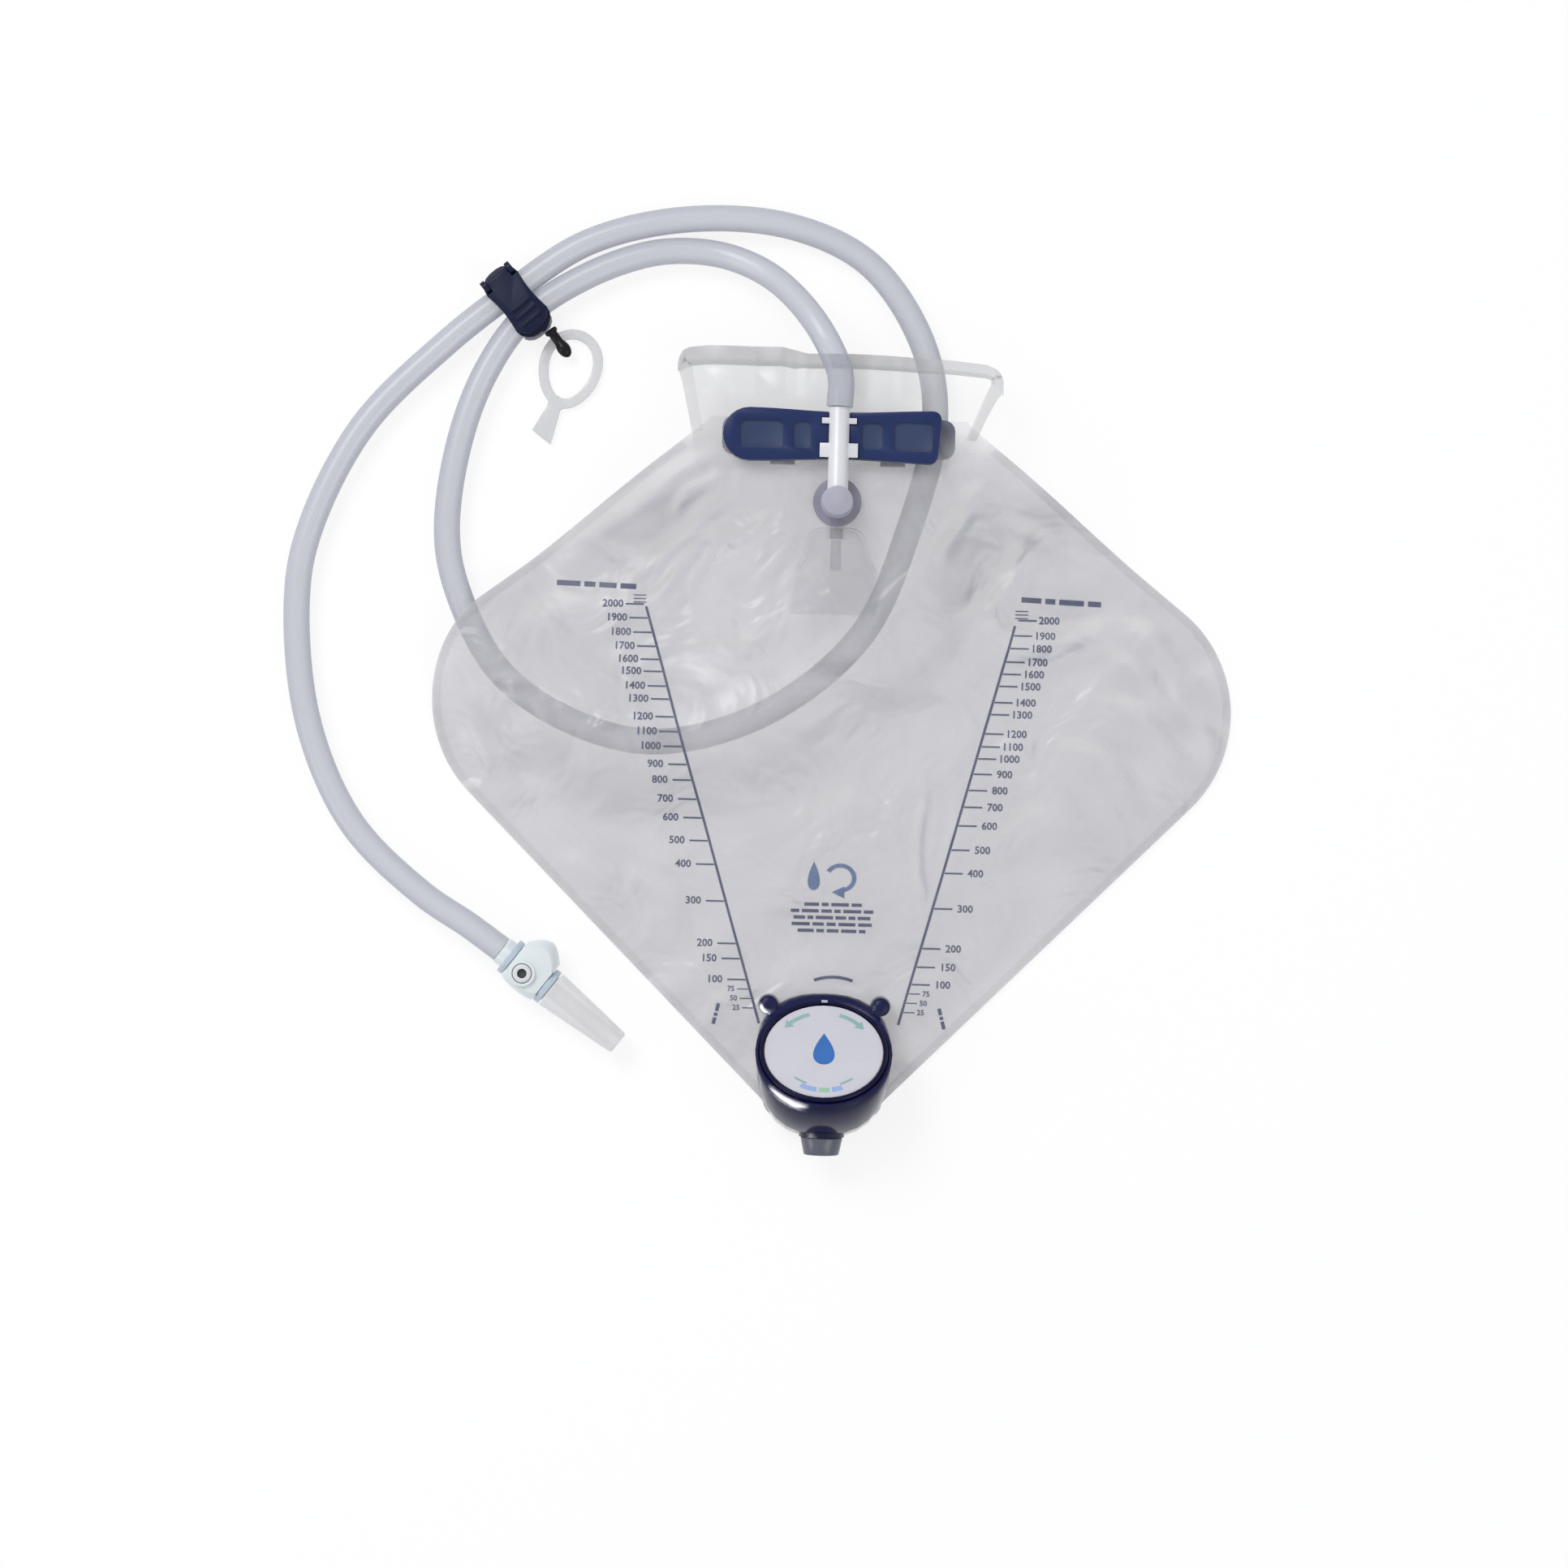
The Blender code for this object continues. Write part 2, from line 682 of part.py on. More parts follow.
def header_outline(inset=0.0):
    """The sheet above the bag: wider at its top corners than at the shoulders."""
    top = HEADER_TOP - inset
    corners = ((-HEADER_BOTTOM_HALF + inset, HEADER_BOTTOM), (HEADER_BOTTOM_HALF - inset, HEADER_BOTTOM),
               (HEADER_BOTTOM_HALF - inset, HEADER_SHOULDER),
               (HEADER_TOP_HALF - inset, top - 0.008), (HEADER_TOP_HALF - inset - 0.007, top),
               (-HEADER_TOP_HALF + inset + 0.003, top), (-HEADER_TOP_HALF + inset, top - 0.003))
    return rounded(corners, 0.0026, 3)


def header():
    sheet = add_piece("header_panel",
                      prism_mesh("header_panel", [header_outline()], HEADER_BACK, HEADER_FRONT),
                      clear("header_panel", 0.45))
    for x in STUD_X:
        boolean(sheet, stud_hole(x))
    # The hem is the sheet's own top and side edge folded forward and welded down
    outer = [p for p in header_outline(0.0003) if p[1] > HEADER_SHOULDER - 0.0001]
    inner = [p for p in header_outline(HEM_WIDTH) if p[1] > HEADER_SHOULDER - 0.0001]
    top = HEADER_FRONT + GAP
    add_piece("header_hem", prism_mesh("header_hem", [outer + inner[::-1]], top, top + HEM),
              clear("header_hem", 0.7))


# Hanger

def bar_outline():
    """The front bar: round left end, squarer right end, and a waist between them."""
    half = BAR_HEIGHT / 2
    waist = BAR_WAIST / 2
    left = BAR_LEFT + half
    points = arc((left, 0.0), half, 90, 270, 12)
    for share in np.linspace(0.1, 0.9, 9):
        x = left + (BAR_RIGHT - left) * share
        dip = (half - waist) * math.sin(math.pi * share) ** 2
        points.append((x, -half + dip))
    corner = BAR_END_RADIUS
    points += arc((BAR_RIGHT - corner - 0.001, -half + corner), corner, -90, 0, 4)
    points += arc((BAR_RIGHT - corner, half - corner), corner, 0, 90, 4)
    for share in np.linspace(0.9, 0.1, 9):
        x = left + (BAR_RIGHT - left) * share
        dip = (half - waist) * math.sin(math.pi * share) ** 2
        points.append((x, half - dip))
    return points


def hanger_bar():
    """The navy front half of the hanger, with a saddle for the inlet stem."""
    at_bar = Matrix.Translation((0, HANGER_Y, 0))
    bar = add_piece("hanger_bar",
                    prism_mesh("hanger_bar", [bar_outline()], BAR_BACK, BAR_FRONT, at_bar),
                    navy("hanger_bar", (0.035, 0.055, 0.150)))
    soften(bar, 0.0008, 2)
    settle(bar)
    half = BAR_HEIGHT / 2
    floor = BAR_FRONT - BAR_RECESS
    panels = (("left_panel", -0.0355, -0.0200, 0.0050), ("ridge_panel", -0.0165, -0.0100, 0.0048),
              ("right_panel", 0.0195, 0.0335, 0.0052), ("mid_panel", 0.0080, 0.0155, 0.0048))
    for name, low, high, reach in panels:
        loop = rounded(((low, -reach), (high, -reach), (high, reach), (low, reach)), 0.0018, 3)
        cutter = prism_mesh(name, [loop], floor, BAR_FRONT + 0.001, at_bar)
        boolean(bar, add_cutter(name, cutter))
    place = frame_at((0, HANGER_Y - half - 0.002, STEM_HEIGHT), (0, 1, 0))
    trough = STEM_RADIUS + GAP
    saddle = cone_mesh("saddle", trough, trough, BAR_HEIGHT + 0.004, 28, place)
    boolean(bar, add_cutter("saddle", saddle))
    top_slot = box_mesh("saddle_mouth", (-trough, HANGER_Y - half - 0.002, STEM_HEIGHT),
                        (trough, HANGER_Y + half + 0.002, BAR_FRONT + 0.002))
    boolean(bar, add_cutter("saddle_mouth", top_slot))
    for name, side, low, high in WING_SEATS:
        seat = box_mesh(name, (-side - GAP, low - GAP, STEM_HEIGHT - WING_DROP - GAP),
                        (side + GAP, high + GAP, BAR_FRONT + 0.002))
        boolean(bar, add_cutter(name, seat))
    for x in STUD_X:
        boolean(bar, stud_hole(x))


def hook_profile():
    """A rail hook seen along the bar: out from the plate, over the rail and down behind."""
    top = HANGER_Y + BACK_PLATE_HEIGHT / 2
    low = top - HOOK_DROP
    wall = HOOK_WALL
    outer = [(low + wall / 2, 0.0)] + arc((top - 0.004, 0.004), 0.004, -90, 0, 4)
    outer += [(top, PLATE_BACK + 0.0001), (top - wall, PLATE_BACK + 0.0001)]
    inner = arc((top - wall - 0.002, wall + 0.002), 0.002, 0, -90, 3)
    inner += [(low + wall, wall), (low, wall * 1.3), (low - 0.0004, wall * 0.5)]
    return outer + inner


def hanger_hooks():
    """The rear half of the hanger: a plate with two rail hooks and two press studs."""
    half = BACK_PLATE_HEIGHT / 2
    length = BACK_PLATE_LENGTH / 2
    loop = rounded(((-length, -half), (length, -half), (length, half), (-length, half)), 0.004, 4)
    at_bar = Matrix.Translation((0, HANGER_Y, 0))
    plate = add_piece("hanger_hooks",
                      prism_mesh("hanger_hooks", [loop], PLATE_BACK, PLATE_FRONT, at_bar),
                      navy("hanger_hooks"))
    # The profile's own plane holds up-the-bag and height; its thickness runs across
    across = Matrix(((0, 0, 1, 0), (1, 0, 0, 0), (0, 1, 0, 0), (0, 0, 0, 1)))
    for name, x in (("hook_left", -HOOK_SPACING / 2), ("hook_right", HOOK_SPACING / 2)):
        hook = prism_mesh(name, [hook_profile()], x - HOOK_WIDTH / 2, x + HOOK_WIDTH / 2, across)
        boolean(plate, add_cutter(name, hook), "UNION")
    for x in STUD_X:
        name = "stud_left" if x < 0 else "stud_right"
        place = Matrix.Translation((x, HANGER_Y, PLATE_FRONT - 0.001))
        depth = BAR_BACK + STUD_DEPTH - PLATE_FRONT + 0.001
        stud = cone_mesh(name, STUD_RADIUS, STUD_RADIUS, depth, 20, place)
        boolean(plate, add_cutter(name, stud), "UNION")


# Inlet and drip chamber

def inlet_elbow():
    """The clear elbow: a stem clipped in the bar, turning down into the bag's front."""
    top = STEM_HEIGHT + STEM_RADIUS + 0.0006
    elbow = add_piece("inlet_elbow",
                      cone_mesh("inlet_elbow", FLANGE_RADIUS, FLANGE_RADIUS, FLANGE, 36,
                                Matrix.Translation((0, TURRET_Y, FLANGE_BACK))),
                      clear("inlet_elbow", 0.6))
    place = Matrix.Translation((0, TURRET_Y, FLANGE_BACK + FLANGE / 2))
    height = top - FLANGE_BACK - FLANGE / 2
    turret = cone_mesh("turret", TURRET_RADIUS, TURRET_RADIUS - 0.0008, height, 28, place)
    boolean(elbow, add_cutter("turret", turret), "UNION")
    place = frame_at((0, TURRET_Y, STEM_HEIGHT), (0, 1, 0))
    stem = cone_mesh("stem", STEM_RADIUS, STEM_RADIUS, STEM_TOP - TURRET_Y, 28, place)
    boolean(elbow, add_cutter("stem", stem), "UNION")
    for name, side, low, high in WING_SEATS:
        wing = box_mesh(name + "_grip", (-side, low, STEM_HEIGHT - WING_DROP),
                        (side, high, STEM_HEIGHT + WING_DROP))
        boolean(elbow, add_cutter(name + "_grip", wing), "UNION")
    bore = cone_mesh("stem_bore", STEM_BORE, STEM_BORE, STEM_TOP - TURRET_Y + 0.002, 20, place)
    boolean(elbow, add_cutter("stem_bore", bore))
    place = Matrix.Translation((0, TURRET_Y, FLANGE_BACK - 0.001))
    down = cone_mesh("turret_bore", PORT_HOLE - 0.0006, STEM_BORE,
                     STEM_HEIGHT - FLANGE_BACK + 0.001, 20, place)
    boolean(elbow, add_cutter("turret_bore", down))


def chamber_outline(inset=0.0, foot=0.0):
    """The chamber seen from the front: a rounded neck flaring to its open mouth."""
    top = CHAMBER_TOP - inset
    neck = CHAMBER_NECK_HALF - inset
    mouth = CHAMBER_MOUTH_HALF - inset
    bottom = CHAMBER_BOTTOM - foot
    right = [(mouth, bottom), (mouth, CHAMBER_BOTTOM + 0.004), (neck + 0.0035, CHAMBER_BOTTOM + 0.016),
             (neck + 0.0012, top - 0.011)]
    right += arc((neck - 0.006, top - 0.006), 0.006, 0, 90, 5)
    left = [(-x, y) for x, y in reversed(right)]
    return right + left


def drip_chamber():
    """The chamber inside the bag: a cap under the film, a flared bell and a flutter valve."""
    cap = add_piece("chamber_cap",
                    cone_mesh("chamber_cap", FLANGE_RADIUS, FLANGE_RADIUS, CAP_DISC, 36,
                              Matrix.Translation((0, TURRET_Y, CHAMBER_FRONT - CAP_DISC))),
                    clear("chamber_cap", 0.5))
    # A flat nozzle leads from the cap into the bell through the bell's top wall
    low = CHAMBER_FRONT - CHAMBER_WALL - GAP - NOZZLE
    nozzle_end = CHAMBER_TOP - 0.004
    nozzle_box = box_mesh("nozzle", (-NOZZLE_HALF, nozzle_end, low),
                          (NOZZLE_HALF, TURRET_Y + 0.0005, low + NOZZLE))
    boolean(cap, add_cutter("nozzle", nozzle_box), "UNION")
    neck = box_mesh("nozzle_neck", (-NOZZLE_HALF, TURRET_Y - 0.0038, low + NOZZLE / 2),
                    (NOZZLE_HALF, TURRET_Y + 0.0034, CHAMBER_FRONT - CAP_DISC / 2))
    boolean(cap, add_cutter("nozzle_neck", neck), "UNION")
    settle(cap)
    place = Matrix.Translation((0, TURRET_Y, low + NOZZLE / 2 + 0.0006))
    boolean(cap, add_cutter("cap_bore", cone_mesh("cap_bore", STEM_BORE, STEM_BORE, 0.010, 20, place)))
    channel = box_mesh("nozzle_bore", (-0.0024, nozzle_end - 0.002, low + 0.0008),
                       (0.0024, TURRET_Y - 0.0006, low + NOZZLE - 0.0008))
    boolean(cap, add_cutter("nozzle_bore", channel))
    back = CHAMBER_FRONT - CHAMBER_DEPTH
    bell = add_piece("chamber_bell",
                     prism_mesh("chamber_bell", [chamber_outline()], back, CHAMBER_FRONT),
                     clear("chamber_bell", 0.35))
    inside = prism_mesh("bell_inside", [chamber_outline(CHAMBER_WALL, 0.002)],
                        back + CHAMBER_WALL, CHAMBER_FRONT - CHAMBER_WALL)
    boolean(bell, add_cutter("bell_inside", inside))
    slot = box_mesh("bell_slot", (-NOZZLE_HALF - GAP, CHAMBER_TOP - 0.006, low - GAP),
                    (NOZZLE_HALF + GAP, CHAMBER_TOP + 0.002, low + NOZZLE + GAP))
    boolean(bell, add_cutter("bell_slot", slot))
    # The flutter valve is a soft duckbill pushed up against the nozzle
    start = Vector((0, nozzle_end - GAP, low + NOZZLE / 2))

    def duckbill(form):
        bmesh.ops.create_cone(form, cap_ends=True, segments=20, radius1=DUCKBILL_RADIUS,
                              radius2=DUCKBILL_RADIUS, depth=DUCKBILL_LENGTH,
                              matrix=Matrix.Translation((0, 0, DUCKBILL_LENGTH / 2)))
        for vert in form.verts:
            if vert.co.z > DUCKBILL_LENGTH / 2:
                vert.co.y *= 0.15
                vert.co.x *= 1.15
        bmesh.ops.transform(form, matrix=frame_at(start, (0, -1, 0)), verts=form.verts)
    add_piece("flutter_valve", mesh_from(duckbill, "flutter_valve"),
              plastic("flutter_valve", (0.35, 0.35, 0.38), 0.5))


# Drain tube

def drain_tube():
    curve = bpy.data.curves.new("drain_tube", "CURVE")
    curve.dimensions = "3D"
    curve.bevel_depth = TUBE / 2
    curve.bevel_resolution = 2
    curve.use_fill_caps = True
    spline = curve.splines.new("POLY")
    spline.points.add(len(TUBE_LINE) - 1)
    for point, place in zip(spline.points, TUBE_LINE):
        point.co = (*place, 1.0)
    tube = bpy.data.objects.new("drain_tube", curve)
    curve.materials.append(clear("drain_tube", 0.6))
    BAG.objects.link(tube)


# Sheet clip

def clip_frame():
    """The clip's own frame: +X along it to its free end, +Y along the tubes."""
    return Matrix.Translation((*CLIP_CENTRE, 0.0)) @ Matrix.Rotation(CLIP_TURN, 4, "Z")


def waisted(length, breadth, waist, steps=8):
    """A block outline with round corners, drawn in at the middle."""
    corner = breadth * CLIP_CORNER
    half = length / 2
    side = breadth / 2
    points = arc((half - corner, side - corner), corner, 0, 90, 4)
    for share in np.linspace(0.0, 1.0, steps + 1)[1:-1]:
        x = (half - corner) * (1 - 2 * share)
        points.append((x, side - (breadth - waist) / 2 * math.sin(math.pi * share)))
    points += arc((-half + corner, side - corner), corner, 90, 180, 4)
    points += [(-x, -y) for x, y in points]
    return points


def sheet_clip():
    """A navy clip: a saddle over both runs of tube, and a lid that grips the sheet."""
    place = clip_frame()
    roof_low = TUBE + GAP + 0.0001
    roof_high = roof_low + CLIP_ROOF
    base = add_piece("clip_base",
                     prism_mesh("clip_base", [waisted(CLIP_LENGTH, CLIP_BREADTH, CLIP_WAIST)],
                                GAP, roof_high, place),
                     navy("clip_base", (0.012, 0.016, 0.040)))
    bay_half = TUBE_PITCH / 2 + TUBE / 2 + CLIP_SLACK
    bay = box_mesh("clip_bay", (-bay_half, -0.02, -0.001), (bay_half, 0.02, roof_low), place)
    boolean(base, add_cutter("clip_bay", bay))
    hinge_x = -CLIP_LENGTH / 2 + LUG_IN
    hinge_z = roof_high + GAP + JAW_THICK / 2
    for name, side in (("lug_left", 1), ("lug_right", -1)):
        y = side * (CLIP_BREADTH / 2 - LUG_IN / 2)
        low = y - LUG_THICK / 2
        lug_place = place @ frame_at((hinge_x, low, hinge_z), (0, 1, 0))
        lug = cone_mesh(name, LUG_RADIUS, LUG_RADIUS, LUG_THICK, 20, lug_place)
        boolean(base, add_cutter(name, lug), "UNION")
        foot = box_mesh(name + "_foot", (hinge_x - LUG_RADIUS, low, roof_high - CLIP_ROOF / 2),
                        (hinge_x + LUG_RADIUS, low + LUG_THICK, hinge_z), place)
        boolean(base, add_cutter(name + "_foot", foot), "UNION")
    settle(base)
    pin_place = place @ frame_at((hinge_x, -0.01, hinge_z), (0, 1, 0))
    hole = cone_mesh("pin_hole", JAW_PIN + GAP, JAW_PIN + GAP, 0.02, 16, pin_place)
    boolean(base, add_cutter("pin_hole", hole))

    jaw_low = roof_high + GAP
    jaw = add_piece("clip_jaw",
                    prism_mesh("clip_jaw", [waisted(JAW_LENGTH, CLIP_BREADTH - 0.0006, CLIP_WAIST)],
                               jaw_low, jaw_low + JAW_THICK, place),
                    navy("clip_jaw", (0.014, 0.019, 0.046)))
    soften(jaw, 0.0007, 2)
    settle(jaw)
    clear_x = hinge_x + LUG_RADIUS + JAW_ROOM
    barrel_half = CLIP_BREADTH / 2 - LUG_IN / 2 - LUG_THICK / 2 - GAP
    for name, side in (("jaw_relief_left", 1), ("jaw_relief_right", -1)):
        low, high = sorted((side * barrel_half, side * CLIP_BREADTH))
        relief = box_mesh(name, (-CLIP_LENGTH, low, jaw_low - 0.001),
                          (clear_x, high, jaw_low + 0.006), place)
        boolean(jaw, add_cutter(name, relief))
    # The lid's heel is rounded about the pin, so that it turns clear of the saddle
    heel = box_mesh("jaw_heel_cut", (-CLIP_LENGTH, -0.02, jaw_low - 0.001),
                    (hinge_x, 0.02, jaw_low + 0.006), place)
    boolean(jaw, add_cutter("jaw_heel_cut", heel))
    barrel_place = place @ frame_at((hinge_x, -barrel_half, hinge_z), (0, 1, 0))
    barrel = cone_mesh("jaw_barrel", JAW_THICK / 2, JAW_THICK / 2, barrel_half * 2, 20, barrel_place)
    boolean(jaw, add_cutter("jaw_barrel", barrel), "UNION")
    pin_half = barrel_half + LUG_THICK
    pin_place = place @ frame_at((hinge_x, -pin_half, hinge_z), (0, 1, 0))
    pin = cone_mesh("jaw_pins", JAW_PIN - 0.0002, JAW_PIN - 0.0002, pin_half * 2, 16, pin_place)
    boolean(jaw, add_cutter("jaw_pins", pin), "UNION")
    for index in range(3):
        x = RIB_FIRST + index * RIB_PITCH
        rib = box_mesh("jaw_rib_" + str(index), (x, -RIB_HALF, jaw_low + JAW_THICK - RIB_HEIGHT),
                       (x + RIB_WIDTH, RIB_HALF, jaw_low + JAW_THICK + RIB_HEIGHT), place)
        boolean(jaw, add_cutter("jaw_rib_" + str(index), rib), "UNION")
    move_origin(jaw, place @ Vector((hinge_x, 0.0, hinge_z)))


def move_origin(piece, point):
    """Put a piece's origin on its joint without moving the piece."""
    piece.data.transform(Matrix.Translation(-Vector(point)))
    piece.matrix_world = Matrix.Translation(point)


def strap_centre_line():
    """The loop of the strap: an egg seen from above, drawn together at its foot."""
    points = []
    for angle in np.linspace(-84, 248, 33):
        turn = math.radians(angle)
        width = STRAP_HALVES[0] * (1 + 0.12 * math.sin(turn))
        points.append((width * math.cos(turn), STRAP_HALVES[1] * math.sin(turn)))
    return points


def strap():
    """A black bead on a neck at the clip's end, with a soft white strap looped round it."""
    place = clip_frame()
    neck_place = place @ frame_at((CLIP_LENGTH / 2 + BEAD_START[0], BEAD_START[1], BEAD_HEIGHT), BEAD_AIM)
    bead = [(0.0, 0.0), (BEAD_FOOT, 0.0), (BEAD_FOOT, 0.0012), (BEAD_NECK, 0.0018), (BEAD_NECK, 0.0052)]
    bead += [(BEAD_RADIUS * math.cos(a), BEAD_AT + BEAD_HALF * math.sin(a))
             for a in np.linspace(-0.75, 1.5707, 9)[:-1]]
    bead += [(0.0, BEAD_AT + BEAD_HALF)]
    turned("clip_bead", bead, plastic("clip_bead", (0.010, 0.010, 0.014), 0.3), neck_place, 20)
    loop_place = Matrix.Translation((*STRAP_CENTRE, 0)) @ Matrix.Rotation(STRAP_TURN, 4, "Z")
    line = strap_centre_line()
    outline = offset_line(line, STRAP_WIDTH / 2) + list(STRAP_TAIL)
    inner = offset_line(line, -STRAP_WIDTH / 2)
    add_piece("strap_loop",
              prism_mesh("strap_loop", [outline, inner], 0.0001, 0.0001 + STRAP, loop_place),
              plastic("strap_loop", (0.80, 0.80, 0.78), 0.5))


def offset_line(line, distance):
    """A line moved sideways by a distance, away from its inside."""
    points = []
    count = len(line)
    for index in range(count):
        before = Vector(line[max(index - 1, 0)])
        after = Vector(line[min(index + 1, count - 1)])
        run = (after - before).normalized()
        points.append((line[index][0] + run.y * distance, line[index][1] - run.x * distance))
    return points


# Catheter connector

def joint_frame(along, height=JOINT_HEIGHT):
    """A frame on the connector's axis, its +Z towards the catheter and its +Y up."""
    direction = Vector((math.cos(JOINT_TURN), math.sin(JOINT_TURN), 0.0))
    origin = Vector((JOINT_POINT[0], JOINT_POINT[1], height)) + direction * along
    return frame_at(origin, direction)


def lean_bulb(body):
    """The bulb swells further to one side of the connector's axis than to the other."""
    frame = joint_frame(0.0)
    to_frame = frame.inverted()
    for vert in body.data.vertices:
        place = to_frame @ vert.co
        radius = math.hypot(place.x, place.y)
        swell = min(max((radius - SOCKET_RADIUS) / (GRIP_HALF - SOCKET_RADIUS), 0.0), 1.0)
        lean = GRIP_LEANS[1] if place.x > 0 else GRIP_LEANS[0]
        place.x *= 1 + (lean - 1) * swell
        vert.co = frame @ place


def connector():
    start = GAP
    ring_bore = SOCKET_RADIUS - COLLAR_GROOVE
    collar_profile = [(ring_bore, 0.0), (COLLAR_RADIUS, 0.0), (COLLAR_RADIUS, COLLAR),
                      (ring_bore, COLLAR), (ring_bore, 0.0)]
    # Body: a socket for the tube, a flat-sided bulb to hold, and a socket for the adapter
    collar_end = start + COLLAR_AT + COLLAR
    grip = [(0.0, start), (ring_bore - GAP, start), (ring_bore - GAP, collar_end + GAP)]
    grip_end = collar_end + GAP + GRIP_LENGTH
    for share in np.linspace(0.0, 1.0, 11):
        along = collar_end + GAP + (grip_end - collar_end - GAP) * share
        swell = math.sin(math.pi * (0.10 + 0.78 * share))
        grip.append((SOCKET_RADIUS + (GRIP_HALF - SOCKET_RADIUS) * swell, along))
    cone_start = grip_end + 3 * GAP + COLLAR
    grip += [(ring_bore - GAP, grip_end), (ring_bore - GAP, cone_start - GAP), (0.0, cone_start - GAP)]
    body = turned("sample_port_body", grip, clear("sample_port_body", 0.7), joint_frame(0.0), 28)
    settle(body)
    lean_bulb(body)
    # The bulb is flattened above and below, where fingers hold it
    x, y = JOINT_POINT
    top = JOINT_HEIGHT + SOCKET_RADIUS
    base = JOINT_HEIGHT - SOCKET_RADIUS
    for name, low, high in (("grip_top", top, top + CONE_END), ("grip_base", base - CONE_END, base)):
        block = box_mesh(name, (x - CONE_END, y - CONE_END, low), (x + CONE_END, y + CONE_END, high))
        boolean(body, add_cutter(name, block))
    settle(body)
    direction = Vector((math.cos(JOINT_TURN), math.sin(JOINT_TURN), 0.0))
    port = Vector((JOINT_POINT[0], JOINT_POINT[1], 0.0)) + direction * PORT_AT
    port += Vector((direction.y, -direction.x, 0.0)) * PORT_ASIDE
    port_base = JOINT_HEIGHT + SOCKET_RADIUS - PORT_ROOT
    tower = cone_mesh("port_tower", PORT_RADIUS + PORT_DRAFT, PORT_RADIUS, PORT_TOP - port_base, 28,
                      Matrix.Translation((port.x, port.y, port_base)))
    boolean(body, add_cutter("port_tower", tower), "UNION")
    well = SEPTUM_RADIUS + GAP
    pocket = cone_mesh("port_pocket", well, well, 2 * SEPTUM_SUNK, 24,
                       Matrix.Translation((port.x, port.y, PORT_TOP - SEPTUM_SUNK)))
    boolean(body, add_cutter("port_pocket", pocket))
    septum_low = PORT_TOP - SEPTUM_SUNK + GAP
    septum = [(0.0, 0.0), (SEPTUM_RADIUS, 0.0), (SEPTUM_RADIUS, SEPTUM_RISE - SEPTUM_CHAMFER[1]),
              (SEPTUM_RADIUS - SEPTUM_CHAMFER[0], SEPTUM_RISE), (SEPTUM_MOUTH[0], SEPTUM_RISE),
              (SEPTUM_MOUTH[1], SEPTUM_FLOOR[0]), (0.0, SEPTUM_FLOOR[1])]
    turned("port_septum", septum, plastic("port_septum", (0.25, 0.26, 0.28), 0.6),
           Matrix.Translation((port.x, port.y, septum_low)), 24)
    for name, along in (("tube_collar", start + COLLAR_AT), ("adapter_collar", grip_end + GAP)):
        turned(name, collar_profile, plastic(name, (0.42, 0.52, 0.62), 0.3), joint_frame(along), 28)
    # Adapter: a tapered hollow cone that pushes into the catheter's funnel
    length = CONE_END - cone_start
    slope = CONE_RADII[1] - CONE_RADII[0]
    wall = [(CONE_BORE, 0.0), (CONE_RADII[0], 0.0), (CONE_RADII[0], CONE_LIP)]
    wall += [(CONE_RADII[0] + slope * share, CONE_LIP + (length - CONE_LIP) * share)
             for share in (0.33, 0.66, 0.97)]
    wall += [(CONE_RADII[1] - CONE_EDGE, length), (CONE_BORE, length), (CONE_BORE, 0.0)]
    turned("catheter_adapter", wall, clear("catheter_adapter", 0.7), joint_frame(cone_start), 28)


# Drain valve

def rim_frame(down=0.0):
    """A frame on the valve's turning axis, its +Z out of the dial, sunk by down."""
    return frame_at(RIM_CENTRE - RIM_AXIS * down, RIM_AXIS, (0, 1, 0))


def base_point(angle):
    """The valve body's outline on the bag: square shoulders above and a round foot below."""
    x = math.cos(angle)
    y = math.sin(angle)
    sharp = VALVE_SHOULDER if y > 0 else VALVE_FOOT
    half_y = (VALVE_BASE_TOP - VALVE_Y) if y > 0 else (VALVE_Y - VALVE_BASE_BOTTOM)
    size = (abs(x) ** sharp + abs(y) ** sharp) ** (-1 / sharp)
    return Vector((VALVE_BASE_HALF * x * size, VALVE_Y + half_y * y * size, VALVE_BACK))


